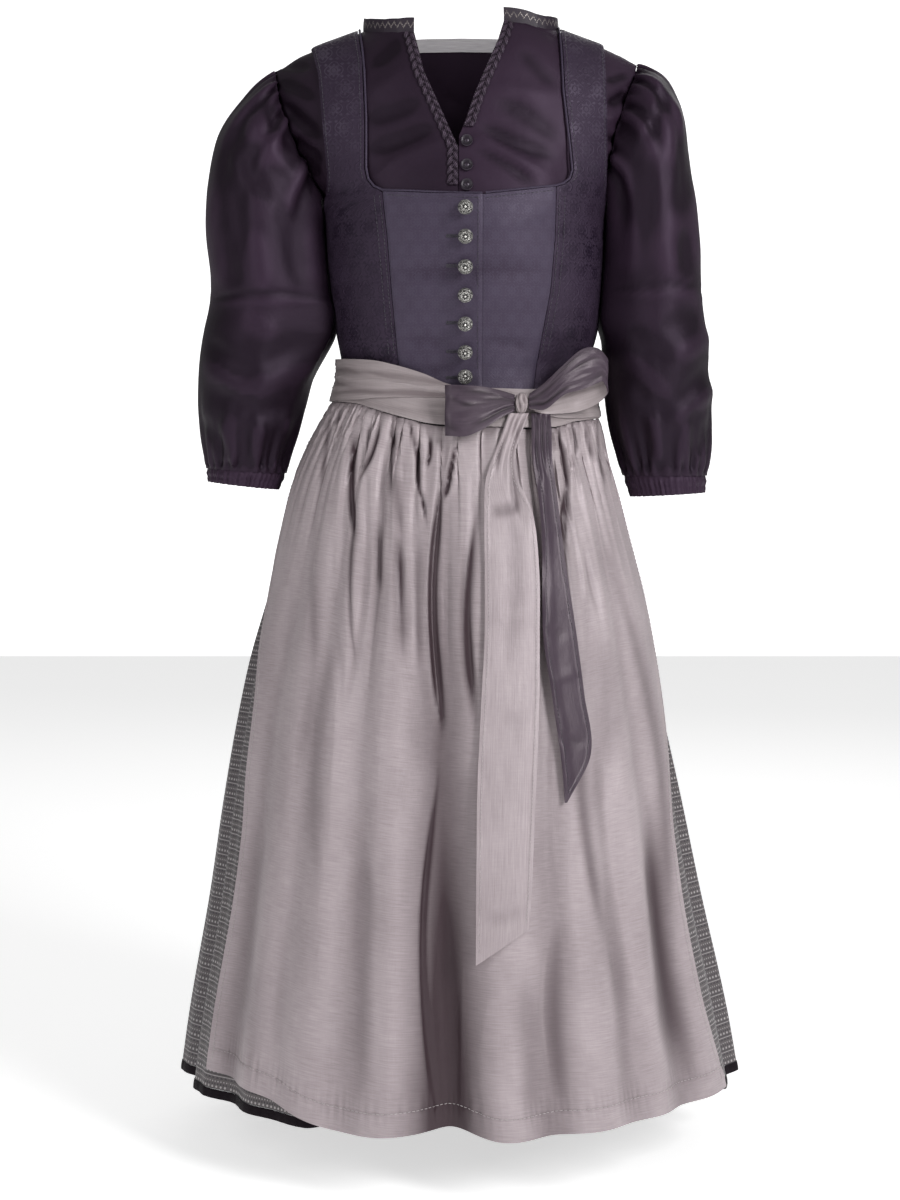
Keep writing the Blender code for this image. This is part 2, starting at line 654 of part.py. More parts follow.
def sleeve_wall(name, side, sections, rows, grow, finish):
    """A tube through the sleeve's rows, from its own points moved in for the inner face."""
    made = []
    for row in rows:
        ring = []
        for i in range(SLEEVE_COLUMNS):
            angle = 360 * i / SLEEVE_COLUMNS
            before, after = (sleeve_point(side, sections, angle + step, row) for step in (-1, 1))
            across = after - before
            low, high = max(row - 0.02, 0), row + 0.02
            along = sleeve_point(side, sections, angle, high) - sleeve_point(side, sections, angle, low)
            out = across.cross(along).normalized() * (-1 if side == "left" else 1)
            point = sleeve_point(side, sections, angle, row)
            ribbed = grow + (0.8 if grow and i % 2 else 0)
            ring.append((point + out * ribbed, point + out * (grow - FINE_CLOTH)))
        made.append(ring)
    wall(name, made, finish, closed=True)


def make_sleeves():
    for side, sections in (("left", SLEEVE_LEFT), ("right", SLEEVE_RIGHT)):
        rows = (0, 0.4, 1.1, 2, 3, 4.2, 5.6, 7, 8.2, 9.4, 10.5, 11.3, CUFF_ROW - 0.03)
        sleeve_wall(f"sleeve_{side}", side, sections, rows, 0, BLOUSE)
        sleeve_wall(f"cuff_{side}", side, sections, (CUFF_ROW, CUFF_ROW + 0.5, 13), 0.4, BLOUSE)


def band(name, top, bottom, turns, out, finish, steps=2):
    """A band round the waist between two edges, tables of level by turn."""
    rows = []
    for k in range(steps + 1):
        share = k / steps
        rows.append([(turn, mix(top.at("level", turn), bottom.at("level", turn), share)) for turn in turns])
    cloth(name, body, rows, out, BAND_CLOTH, finish)


def make_waistband():
    top = Table("turn level", *[(t, APRON_SEAM.at("level", t) + 41) for t in range(-90, 91, 15)])
    band("waistband", top, APRON_SEAM, spread(-89.7, 89.7, 21), BAND_OUT, SASH)


def sash_out(turn, level):
    """The sash lies over the waistband in front and close to the bodice behind."""
    return mix(SASH_OUT, BACK_SASH_OUT, ease((abs(turn) - 90) / 25))


def make_sash():
    left_top = Table(
        "turn level", (-90, -335), (-43, -338.8), (-27, -345.9), (-15, -355), (-3, -368), (23, -376)
    )
    left_low = Table(
        "turn level", (-90, -384), (-50, -383.5), (-37, -382), (-9, -381.5), (10, -386), (23, -394)
    )
    right_top = Table("turn level", (29, -375), (40, -360), (60, -343), (90, -330))
    right_low = Table("turn level", (29, -396), (40, -403), (60, -402), (90, -398))
    band("sash_left", left_top, left_low, spread(-89.8, 19, 15), sash_out, SASH)
    band("sash_right", right_top, right_low, spread(30, 89.8, 9), sash_out, SASH)
    back_top = Table("turn level", (90, -330), (180, -333), (270, -335))
    back_low = Table("turn level", (90, -398), (110, -390), (250, -384), (270, -384))

    def back_out(turn, level):
        return sash_out(min(turn, 360 - turn), level)

    band("sash_back", back_top, back_low, spread(90.2, 269.8, 16), back_out, SASH)


KNOT = Vector((61, 0, -385))
KNOT_HALF = Vector((7.1, 7, 10.8))


def make_knot():
    """A plump knot: an oval blob flattened on its sides."""
    sash = outside(body, turn_at(KNOT.x, KNOT.z), KNOT.z, SASH_OUT)
    base = Vector((KNOT.x, sash.y - KNOT_HALF.y - 0.6, KNOT.z))
    points, faces, sides, rings = [base + Vector((0, 0, KNOT_HALF.z))], [], 10, 5
    for r in range(1, rings + 1):
        polar = math.pi * r / (rings + 1)
        for i in range(sides):
            a = math.tau * i / sides
            x = math.copysign(abs(math.cos(a)) ** 0.8, math.cos(a)) * math.sin(polar) ** 0.7
            y = math.copysign(abs(math.sin(a)) ** 0.8, math.sin(a)) * math.sin(polar) ** 0.7
            points.append(base + Vector((x * KNOT_HALF.x, y * KNOT_HALF.y, math.cos(polar) * KNOT_HALF.z)))
    points.append(base - Vector((0, 0, KNOT_HALF.z)))
    for i in range(sides):
        j = (i + 1) % sides
        faces.append((0, 1 + i, 1 + j))
        for r in range(rings - 1):
            low, high = 1 + r * sides, 1 + (r + 1) * sides
            faces.append((low + i, high + i, high + j, low + j))
        last = 1 + (rings - 1) * sides
        faces.append((last + i, len(points) - 1, last + j))
    add_mesh("knot", points, faces, SASH)


# Loops of the bow along their ribbon, front layer first: its middle x and y, and its top and bottom edges
LOOP_LEFT = Table(
    "step x y top bottom",
    (0, 53.6, -105.5, -377, -393.5), (1, 40, -113, -373, -400), (2, 23, -121, -369.5, -411),
    (3, 5, -126, -368, -419), (4, -10, -126, -367.5, -419), (5, -16.5, -121.5, -367.5, -418.7),
    (6, -10, -117.5, -368, -418.5), (7, 8, -116.5, -369, -416), (8, 30, -111, -371, -404),
    (9, 53.6, -101.5, -377, -393),
)
LOOP_RIGHT = Table(
    "step x y top bottom",
    (0, 68.6, -105, -376, -391), (1, 84, -108, -365, -393), (2, 102, -106, -348, -391.5),
    (3, 122, -99, -331, -387), (4, 139, -91, -329, -380), (5, 150, -83, -340, -374),
    (6, 142, -77, -337, -384), (7, 122, -79, -340, -393), (8, 100, -89.5, -356, -396),
    (9, 82, -97, -371, -396), (10, 68.6, -100, -377, -392),
)


def make_loop(name, route, last, finish):
    """A loop of the bow: a ribbon that leaves the knot, turns round and comes back behind itself."""
    rows = []
    for step in range(last + 1):
        before, after = max(step - 0.1, 0), min(step + 0.1, last)
        dx, dy = (route.at(key, after) - route.at(key, before) for key in ("x", "y"))
        along = Vector((dx, dy, 0))
        out = along.cross(Vector((0, 0, 1))).normalized() * (FINE_CLOTH / 2)
        row = []
        for share in (0, 0.25, 0.5, 0.75, 1):
            z = mix(route.at("top", step), route.at("bottom", step), share)
            middle = Vector((route.at("x", step), route.at("y", step), z))
            row.append((middle + out, middle - out))
        rows.append(row)
    wall(name, rows, finish)


def tail_out(level):
    return mix(TAIL_OUT, TAIL_TOP_OUT, ease((level + 450) / 38))


def make_tail(name, edges, levels, slant, finish):
    """A hanging tail of the bow, on the outside of the apron's folds."""
    rows = []
    for k, level in enumerate(levels):
        row = []
        for share in (0, 0.33, 0.67, 1):
            x = mix(edges.at("left", level), edges.at("right", level), share)
            rise = slant * share if k == len(levels) - 1 else 0
            place = (turn_at(x, level + rise), level + rise)
            out = tail_out(level)
            row.append((outside(body, *place, out), outside(body, *place, out - FINE_CLOTH)))
        rows.append(row)
    wall(name, rows, finish)


def apron_out(turn, level):
    return mix(APRON_TOP_OUT, APRON_OUT, ease((APRON_SEAM.at("level", turn) - level) / 40))


def make_apron():
    rows = []
    downs = (0, 0.02, 0.06, 0.12, 0.19, 0.27, 0.36, 0.46, 0.57, 0.68, 0.79, 0.9, 1)
    for k, down in enumerate(downs):
        columns = 2 * APRON_GATHERS + 1 if k < 4 else 41
        row = []
        for share in spread(0, 1, columns):
            level = mix(-400, -1080, down)
            for _ in range(3):
                turn = mix(APRON_EDGE.at("left", level), APRON_EDGE.at("right", level), share)
                level = mix(APRON_SEAM.at("level", turn) - 0.9, APRON_HEM.at("level", turn), down)
            row.append((turn, level))
        rows.append(row)
    cloth("apron", apron, rows, apron_out, FINE_CLOTH, APRON)


GORES = Table("gore start end", (0, -56, 56), (1, 56, 120), (2, 120, 240), (3, 240, 304), smooth=False)
GORE_NAMES = ("front", "right", "back", "left")


def skirt_out(turn, level):
    """The skirt's top edge lies right under the bodice's."""
    return mix(1.8, 0, ease((WAIST - level) / 45))


def skirt_columns(start, end, fine):
    """Turns along a gore: finer near the waist, and past the apron at the folds' crests and troughs."""
    gap = 0.06
    if start < 0:
        return spread(start + gap, end - gap, 25)
    step = SKIRT_GATHER / 2 if fine else SKIRT_FOLD / 3
    count = round((end - start) / step)
    inside = [start + (end - start) * i / count for i in range(1, count)]
    return [start + gap, *inside, end - gap]


def make_skirt():
    edge = HEM + BINDING
    levels = (WAIST - WAIST_SPLIT, -395, -420, -460, -520, -590, -670, -760, -860, -970, edge)
    for gore, name in enumerate(GORE_NAMES):
        start, end = GORES.columns["start"][gore], GORES.columns["end"][gore]
        rows = [[(turn, lv) for turn in skirt_columns(start, end, i < 4)] for i, lv in enumerate(levels)]
        cloth(f"skirt_{name}", skirt, rows, skirt_out, FINE_CLOTH, SKIRT)
        binding = [[(turn, lv) for turn in skirt_columns(start, end, False)] for lv in (edge - 0.4, HEM)]
        cloth(f"hem_binding_{name}", skirt, binding, 0.5, 2.2, VELVET)


def make_buttons():
    for i, level in enumerate(BALL_LEVELS):
        turn = turn_at(BALL_X, level)
        foot = outside(body, turn, level, lapped(turn, level))
        axis = outside(body, turn, level, 20) - body(turn, level)
        lathe(f"ball_button_{i + 1}", BALL_PROFILE, foot, axis, SILVER)
    for i, level in enumerate(RIM_BUTTON_LEVELS):
        turn = turn_at(RIM_BUTTON_X, level)
        axis = outside(body, turn, level, 20) - body(turn, level)
        lathe(f"rim_button_{i + 1}", RIM_PROFILE, body(turn, level), axis, DARK_METAL)


def clear_scene():
    for thing in list(bpy.data.objects):
        bpy.data.objects.remove(thing)


clear_scene()
BLOUSE = material("blouse_satin", (0.032, 0.019, 0.034), 0.5)
BRAID = material("plaited_braid", (0.05, 0.035, 0.055), 0.6)
BODICE = material("bodice_jacquard", (0.055, 0.041, 0.068), 0.55)
SATIN = material("bodice_satin", (0.065, 0.058, 0.085), 0.45)
APRON = material("apron_taffeta", (0.39, 0.34, 0.35), 0.4)
SASH = material("sash_taffeta", (0.27, 0.23, 0.23), 0.4)
RIBBON = material("dark_ribbon", (0.065, 0.05, 0.065), 0.4)
SKIRT = material("skirt_brocade", (0.16, 0.145, 0.175), 0.6)
VELVET = material("hem_velvet", (0.01, 0.006, 0.01), 0.9)
SILVER = material("silver_filigree", (0.5, 0.48, 0.45), 0.35, 1.0)
DARK_METAL = material("dark_metal", (0.05, 0.045, 0.05), 0.4, 0.8)

make_blouse_front("left", BLOUSE_EDGE_LEFT)
make_blouse_front("right", BLOUSE_EDGE_RIGHT)
make_blouse_back()
make_collar()
make_braid("left", BLOUSE_EDGE_LEFT, 0.5, -171, -1)
make_braid("right", BLOUSE_EDGE_RIGHT, 13.5, -110, 1)
make_side_front("left", SIDE_FRONT_LEFT)
make_side_front("right", SIDE_FRONT_RIGHT)
make_front("left")
make_front("right")
make_side_back("left")
make_side_back("right")
make_back()
make_piping()
make_sleeves()
make_waistband()
make_sash()
make_knot()
make_loop("bow_loop_left", LOOP_LEFT, 9, RIBBON)
make_loop("bow_loop_right", LOOP_RIGHT, 10, RIBBON)
make_tail("tail_light", LIGHT_TAIL, LIGHT_TAIL_LEVELS, LIGHT_TAIL_SLANT, APRON)
make_tail("tail_dark", DARK_TAIL, DARK_TAIL_LEVELS, 0, RIBBON)
make_apron()
make_skirt()
make_buttons()
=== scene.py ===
"""The looks of a dirndl: blouse with puff sleeves, bodice, gathered skirt, and an apron tied with a bow.
Lengths are millimetres, as in the part's source, and become metres when a mesh is made. x runs to the
viewer's right, the front faces -y, z is up. turn is degrees round the body from centre front."""
import math

import bmesh
import bpy
import numpy as np
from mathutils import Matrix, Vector


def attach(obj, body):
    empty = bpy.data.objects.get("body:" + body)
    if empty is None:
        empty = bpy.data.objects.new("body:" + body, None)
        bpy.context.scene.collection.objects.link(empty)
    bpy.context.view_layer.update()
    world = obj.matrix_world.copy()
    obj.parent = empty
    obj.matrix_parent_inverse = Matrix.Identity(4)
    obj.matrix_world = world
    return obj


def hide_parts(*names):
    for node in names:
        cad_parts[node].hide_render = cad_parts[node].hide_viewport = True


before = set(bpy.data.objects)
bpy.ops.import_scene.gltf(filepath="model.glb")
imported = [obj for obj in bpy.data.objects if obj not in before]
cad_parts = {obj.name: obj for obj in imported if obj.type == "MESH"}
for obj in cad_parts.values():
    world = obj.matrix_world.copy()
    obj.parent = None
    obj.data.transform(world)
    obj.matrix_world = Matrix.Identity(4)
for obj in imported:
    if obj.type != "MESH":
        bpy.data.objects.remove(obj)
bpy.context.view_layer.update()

MM = 0.001

# Driving sizes
SEAM = 0.3  # half of the gap between two pieces at a seam
FINE_SHELL = 1.0  # how thick the fine cloths are made here
BODICE_CLOTH = 1.6
BAND_CLOTH = 1.5  # waistband, sash and collar
BODICE_OUT = 3.8  # outer face of the bodice over the blouse
LAP_OUT = 2.3  # how much further out the left front lies where it laps over the right
APRON_OUT = 5.6
APRON_TOP_OUT = 6.9  # the gathers at the waist stand further out
BAND_OUT = 8.4
SASH_OUT = 11.0
TAIL_OUT = 7.3
TAIL_TOP_OUT = 13.1  # where the tails come out from under the knot
BACK_SASH_OUT = 6.9
SLEEVE_GAP = 0.2  # between the sleeve's head and the armhole
TUCK = 1.6  # how far the blouse runs on under the sleeve's head
RIDGE = 34.0  # level of the shoulder line, read at the neck's centre
ARMPIT = -168.0
CAP = 115.0  # depth over which the body rounds to the shoulder line
BLOUSE_END = -235.0  # the blouse is cropped under the bust
WAIST = -380.0
WAIST_SPLIT = 0.5  # gap between the bodice's edge and the skirt's
HEM = -1092.0
BINDING = 9.5  # height of the velvet binding under the skirt's edge
LAP_X = 20.5  # edge of the front lap
BRAID_WIDTH = 10.5
CHEVRON = 9.3  # pitch of the plaited braid
COLLAR_HEIGHT = 13.5
BALL = 7.6  # radius of the bodice's ball buttons
BALL_LEVELS = (-190, -217.5, -246.5, -273.5, -302.5, -331.5, -359.5)
BALL_X = 3.5
BALL_MIDDLE = 7.8  # height of a ball's middle over the cloth
RIM_BUTTON = 6.3  # radius of the blouse's buttons
RIM_BUTTON_LEVELS = (-121, -146.5, -167)
RIM_BUTTON_X = 5.0
PIPING_RADIUS = 1.2
PIPING_SIDE = 1.7  # from the neckline's edge to the middle of the piping
PIPING_OUT = 2.9
APRON_GATHERS = 26
SKIRT_FOLD = 15.0  # degrees from fold to fold round the back of the skirt
SKIRT_FOLDS = 24
SKIRT_GATHER = 6.0
APRON_HEM_HEIGHT = 21.5  # of the sewn hem
SEWING_OUT = 0.15  # how far the bodice's sewing stands out of the cloth
SIGN = {"left": -1, "right": 1}
FLOOR = -1.16  # in metres
EYE = (-0.0118, -2.14, -0.433)  # where the camera stands, in metres
EYE_TILT = 2.15  # degrees that it looks down


class Table:
    """A short table with named columns, read by its first column along smooth or straight lines."""

    def __init__(self, names, *rows, smooth=True):
        rows = sorted(rows)
        self.keys = np.array([row[0] for row in rows], float)
        self.columns = {name: np.array([row[i] for row in rows], float) for i, name in enumerate(names.split())}
        self.smooth = smooth

    def at(self, name, key):
        keys, values = self.keys, self.columns[name]
        key = np.clip(key, keys[0], keys[-1])
        last = len(keys) - 1
        i = np.clip(np.searchsorted(keys, key, side="right") - 1, 0, last - 1)
        span = keys[i + 1] - keys[i]
        t = (key - keys[i]) / span
        rise = (values[i + 1] - values[i]) / span
        straight = values[i] + rise * span * t
        if not self.smooth:
            return straight
        before, after = np.maximum(i - 1, 0), np.minimum(i + 2, last)
        start = (values[i + 1] - values[before]) / (keys[i + 1] - keys[before]) - rise
        end = (values[after] - values[i]) / (keys[after] - keys[i]) - rise
        return straight + span * t * (1 - t) * (start * (1 - t) - end * t)


# Half widths to the viewer's left and right and depths to front and back, by level. Square is the
# exponent of the ring: 1 is an ellipse, less is squarer.
FORM = Table(
    "level left right front back square",
    (-1100, 301, 297, 257, 270, 1),
    (-1022, 290, 283, 250, 262, 1),
    (-904, 269.5, 256, 231, 246, 1),
    (-808, 255.5, 236, 212, 231, 1),
    (-722, 241, 217, 193, 214, 1),
    (-653, 226, 203, 176, 198, 1),
    (-583, 205, 189, 158, 178, 0.98),
    (-522, 189, 173, 140, 158, 0.96),
    (-465, 173, 157.5, 122, 136, 0.94),
    (-423, 154, 146.5, 107, 115, 0.92),
    (-384, 131, 136, 92, 94, 0.9),
    (-350, 123, 131, 88, 86, 0.88),
    (-304, 130, 142, 97, 90, 0.86),
    (-244, 138, 147, 113, 98, 0.86),
    (-190, 141.5, 149, 121, 104, 0.86),
    (-168, 147.5, 153, 118, 106, 0.86),
    (-115, 150, 155, 104, 106, 0.86),
    (-60, 150, 155, 92, 101, 0.86),
    (34, 150, 155, 84, 93, 0.86),
)
# Height of the shoulder line by distance from the middle
SHOULDER = Table(
    "x z", (0, 34), (60, 30), (90, 17), (104, 9), (130, -0.5), (152, -8.5), (176, -20), (197, -32), (215, -44)
)
# The armhole seam: distance from the middle on each side
ARMHOLE = Table(
    "level left right",
    (-168, 147.5, 153),
    (-156, 156, 153.5),
    (-131, 165, 155),
    (-88, 175, 159.5),
    (-60, 182, 166),
    (-27, 190, 173),
    (15, 195, 184),
    (34, 197, 187),
)
ARMHOLE_SPREAD = 13.0  # how far the body's ring would reach past the seam, half way down it
# Neck and front edges of the blouse, x by level, a table for each side
BLOUSE_EDGE_LEFT = Table(
    "level x",
    (-235, -3.4), (-127, -3.4), (-107, -12.3), (-80, -23.6), (-47, -38), (0.5, -49),
    (3.2, -65), (10.6, -80), (18.7, -91), (27.3, -100), (34, -103.5),
    smooth=False,
)
BLOUSE_EDGE_RIGHT = Table(
    "level x",
    (-235, -2.8), (-116, -2.8), (-101.7, 3), (-72.5, 12.3), (-47, 22.7), (-11, 37.4), (13.5, 44),
    (15, 62), (17, 78), (21, 88), (28, 97), (34, 103),
    smooth=False,
)
BACK_NECK = Table("x level", (0, 3), (60, 3.4), (80, 11), (92, 19), (100, 27), (103.4, 34), smooth=False)
# Edges of the bodice's side fronts: inner is the neckline and then the princess seam, outer the armhole
SIDE_FRONT_LEFT = Table(
    "level inner outer",
    (-380, -61, -1), (-343, -64, -1), (-275, -70, -1), (-216, -74.3, -1), (-172.5, -79, -140),
    (-167, -88.5, -138.5), (-158, -95, -136.5), (-145, -97.5, -136), (-87, -98, -141),
    (-15, -101, -147), (34, -108, -157),
    smooth=False,
)
SIDE_FRONT_RIGHT = Table(
    "level inner outer",
    (-380, 72, 1), (-345, 76.3, 1), (-270, 89.5, 1), (-216, 93.6, 1), (-167, 94.5, 148.3),
    (-163, 103, 148.4), (-156, 110, 148.5), (-145, 113, 148.6), (-117, 111, 148.7),
    (-52, 105, 148.7), (34, 103, 148.7),
    smooth=False,
)
SIDE_BACK = Table(
    "level inner outer",
    (-380, 36, 1), (-335, 38, 1), (-250, 50, 1), (-190, 60, 1), (-184, 61, 141), (-168, 63.3, 139),
    (-150, 66, 136.5), (-120, 69, 137),
    (-76, 72, 139), (-71, 84, 140), (-60, 92, 142), (-30, 97, 145), (34, 106, 150),
    smooth=False,
)
SIDE_SEAM_TOP = -185.0  # below this the bodice's side pieces meet at the side
NECKLINE = Table(
    "x level", (-79, -172.5), (-40, -175.5), (0, -177.3), (LAP_X, -177.3), (60, -172.5), (94.5, -167)
)
# Levels of the apron's gather seam and hem, by turn round the body in degrees
APRON_SEAM = Table(
    "turn level", (-90, -384), (-50, -387.6), (-37, -394), (-23, -402), (-9, -409.5), (18, -412.6),
    (38, -412), (52, -405.7), (90, -400.5),
)
APRON_HEM = Table(
    "turn level", (-61, -1063), (-40, -1071), (-25, -1090.5), (-10, -1091), (0, -1088), (8, -1095),
    (20, -1092.5), (40, -1090), (57, -1088), (65, -1086),
)
# How far round the apron reaches on each side, by level
APRON_EDGE = Table(
    "level left right",
    (-1086, -61, 65), (-990, -61, 61), (-830, -60, 63), (-768, -61.5, 68), (-680, -64, 80),
    (-610, -71, 86), (-500, -82, 88), (-384, -89.6, 89.6),
)
# The large folds of the front: turn at the waist and at the hem, depth at three levels, half width there
FRONT_FOLDS = [
    dict(top=-54, hem=-54, depths=(4, 7, 14), width=(4.5, 4)),
    dict(top=-38, hem=-40, depths=(7, 5, 6), width=(3.5, 4)),
    dict(top=-26, hem=-23.5, depths=(7, 7, 9), width=(3.5, 4)),
    dict(top=-14, hem=-9, depths=(6, 5, 0), width=(3, 5)),
    dict(top=-6, hem=-3, depths=(9, 18, 36), width=(4, 5.6)),
    dict(top=6, hem=3, depths=(5, 3, 0), width=(3, 5)),
    dict(top=27, hem=17.5, depths=(7, 9, 14), width=(4, 4.5)),
    dict(top=41.5, hem=36, depths=(6, 7, 9), width=(4, 4.5)),
    dict(top=56, hem=50, depths=(5, 8, 13), width=(4, 4.5)),
]
FOLDS_START, FOLDS_FULL, FOLDS_MIDDLE = -390.0, -450.0, -720.0
# The tails of the bow: left and right edges by level
LIGHT_TAIL = Table(
    "level left right",
    (-928, 12.6, 63), (-830, 13.4, 67), (-760, 14.5, 70.5), (-677, 18.5, 74), (-619, 21.5, 74.8),
    (-557, 22, 75), (-498, 22, 69), (-465, 23.6, 55), (-436, 33.4, 53), (-400, 46, 65),
)
LIGHT_TAIL_SLANT = 32.0
TAIL_TOP = -400.5
DARK_TAIL = Table(
    "level left right",
    (-780, 98, 100), (-735, 94, 124), (-677, 86, 118), (-619, 78, 111), (-541, 78, 100),
    (-495, 76, 95), (-454, 71, 90), (-429, 68, 87), (-400, 67, 85),
)
# Sleeve sections: where the outer and inner edges lie, and the half depth
SLEEVE_LEFT = Table(
    "row outer_x outer_z inner_x inner_z depth",
    (0, -193.7, -33.2, -146.6, -165.9, 60), (1, -212.9, -42.8, -149.5, -180.8, 66),
    (2, -238.6, -69.6, -149.8, -195.8, 72), (3, -260, -103.8, -149.8, -210.8, 76),
    (4, -269.6, -148.7, -149.4, -225.8, 78), (5, -271.2, -192.6, -148.4, -246.1, 78),
    (6, -267.5, -250.4, -146.6, -272.9, 76), (7, -268.6, -278.2, -147.7, -292.1, 74),
    (8, -277.1, -315.7, -150.9, -315.7, 74), (9, -281.4, -363.8, -158.4, -361.7, 72),
    (10, -280.3, -401.3, -169.1, -404.5, 66), (11, -273.9, -437.6, -181.9, -441.9, 56),
    (12, -271.8, -451.5, -187.3, -456.9, 48), (13, -269.6, -466.5, -195.8, -475.1, 44),
)
SLEEVE_RIGHT = Table(
    "row outer_x outer_z inner_x inner_z depth",
    (0, 183, -20.3, 153, -155.2, 60), (1, 201.2, -27.8, 155.2, -174.4, 66),
    (2, 221.5, -46, 155.6, -193.7, 72), (3, 235.4, -74.9, 155.4, -211.9, 76),
    (4, 244, -118.8, 154.6, -232.2, 78), (5, 248.8, -165.9, 153.2, -253.6, 78),
    (6, 254.7, -230, 151, -277.1, 76), (7, 258.9, -283.6, 149.6, -302.8, 75),
    (8, 264.3, -326.4, 149, -328.5, 74), (9, 267.5, -369.2, 150.5, -363.8, 70),
    (10, 268, -406.6, 155.6, -403.4, 64), (11, 265.9, -438.7, 165.5, -438.7, 54),
    (12, 262.2, -459, 173.3, -459, 47), (13, 260, -478.3, 181.9, -482.6, 43),
)
CUFF_ROW = 12
SLEEVE_END = 13  # row of the cuff's edge


def clamp(value):
    return np.clip(value, 0.0, 1.0)


def ease(value):
    value = clamp(value)
    return value * value * (3 - 2 * value)


def mix(low, high, share):
    return low + (high - low) * share


def bump(away):
    """A soft ridge: 1 at its crest, falling off within about two units."""
    return np.exp(-away * away / 2)


def half_width(right, level):
    left_half, right_half = (
        np.where(
            level <= ARMPIT,
            FORM.at(side, level),
            ARMHOLE.at(side, level)
            + ARMHOLE_SPREAD * np.sin(np.pi * clamp((RIDGE - level) / (RIDGE - ARMPIT))),
        )
        for side in ("left", "right")
    )
    return np.where(right, right_half, left_half)


def shoulder_slope(x, level):
    return (SHOULDER.at("z", abs(x)) - RIDGE) * clamp((level - ARMPIT) / (RIDGE - ARMPIT))


def point_of(x, y, z):
    return np.stack(np.broadcast_arrays(x, y, z), axis=-1)


def body(turn, level):
    """Points of the smooth body, from the shoulders to the hem."""
    level = np.minimum(level, RIDGE)
    s, c = np.sin(np.radians(turn)), np.cos(np.radians(turn))
    square = FORM.at("square", level)
    x = np.sign(s) * half_width(s >= 0, level) * abs(s) ** square
    z = level + shoulder_slope(x, level)
    rounded = 1 - clamp((SHOULDER.at("z", abs(x)) - z) / CAP)
    depth = np.where(c > 0, FORM.at("front", level), FORM.at("back", level)) * abs(c) ** square
    y = depth * np.sqrt(1 - rounded * rounded) + SEAM
    return point_of(x, np.where(c > 0, -y, y), z)


def front_fold_depth(turn, level):
    full = ease((FOLDS_START - level) / (FOLDS_START - FOLDS_FULL))
    down = clamp((FOLDS_FULL - level) / (FOLDS_FULL - HEM))
    depth = 0.0
    for fold in FRONT_FOLDS:
        waist, middle, hem = fold["depths"]
        upper = mix(waist, middle, ease((FOLDS_FULL - level) / (FOLDS_FULL - FOLDS_MIDDLE)))
        lower = mix(middle, hem, ease((FOLDS_MIDDLE - level) / (FOLDS_MIDDLE - HEM)))
        deep = np.where(level > FOLDS_MIDDLE, upper, lower)
        away = (turn - mix(fold["top"], fold["hem"], down)) / mix(*fold["width"], down)
        depth = depth + deep * full * bump(away)
    return depth


def back_fold_depth(turn, level):
    reach = np.where(turn < 0, -APRON_EDGE.at("left", level), APRON_EDGE.at("right", level))
    beyond = ease((abs(turn) - reach - 1) / 9)
    down = clamp((FOLDS_START - level) / (FOLDS_START - HEM))
    number = np.round(turn / SKIRT_FOLD)
    uneven = 1 + 0.3 * np.sin(2.3 * (number % SKIRT_FOLDS))
    wave = 0.5 + 0.5 * np.cos(math.tau * (turn / SKIRT_FOLD - number))
    gather = 0.5 + 0.5 * np.cos(math.tau * turn / SKIRT_GATHER)
    small = 3.2 * gather * (1 - ease(down * 4.5))
    return beyond * (mix(2, 17, down**0.8) * uneven * wave * ease(down * 4) + small)


def inward(points):
    flat = points * (-1, -1, 0)
    return flat / np.linalg.norm(flat, axis=-1, keepdims=True)


def signed(turn):
    return (turn + 180) % 360 - 180


def skirt(turn, level):
    points = body(turn, level)
    depth = front_fold_depth(signed(turn), level) + back_fold_depth(signed(turn), level)
    return points + inward(points) * depth[..., None]


def apron(turn, level):
    seam = APRON_SEAM.at("level", turn)
    uneven = turn + 1.9 * np.sin(turn * 0.31 + 0.6) + 0.8 * np.sin(turn * 0.83)
    gather = 0.5 + 0.5 * np.cos(np.pi * (uneven + 90) / (180 / (2 * APRON_GATHERS)))
    depth = 2.6 * gather * (0.7 + 0.3 * np.sin(turn * 0.71 + 1)) * (1 - ease((seam - level) / 150))
    points = skirt(turn, level)
    return points + inward(points) * depth[..., None]


def unit(vectors):
    return vectors / np.maximum(np.linalg.norm(vectors, axis=-1, keepdims=True), 1e-9)


def outside(surface, turn, level, out):
    """Points that lie out millimetres outside a surface."""
    step = 0.15
    turn, level = np.broadcast_arrays(np.asarray(turn, float), np.asarray(level, float))
    across = surface(turn + step, level) - surface(turn - step, level)
    up = surface(turn, level + step) - surface(turn, level - step)
    return surface(turn, level) + unit(np.cross(across, up)) * np.asarray(out)[..., None]


def turn_at(x, level):
    """The front turn at which the body's row of this level reaches x."""
    x = np.asarray(x, float)
    share = clamp(abs(x) / half_width(x >= 0, level)) ** (1 / FORM.at("square", level))
    return np.sign(x) * np.degrees(np.arcsin(share))


def spread(low, high, count):
    return np.linspace(low, high, count)


def row_lengths(points):
    """Lengths along each row of a grid of cloth, from its first column on."""
    steps = np.linalg.norm(np.diff(points, axis=1), axis=-1)
    return np.concatenate([np.zeros((len(points), 1)), np.cumsum(steps, axis=1)], axis=1)


def lengths_along(route):
    return np.concatenate([[0], np.cumsum(np.linalg.norm(np.diff(route, axis=0), axis=1))])


def places_at(along, lengths, route):
    """Points of a route at given lengths along it."""
    return np.stack([np.interp(along, lengths, route[:, i]) for i in range(3)], axis=-1)


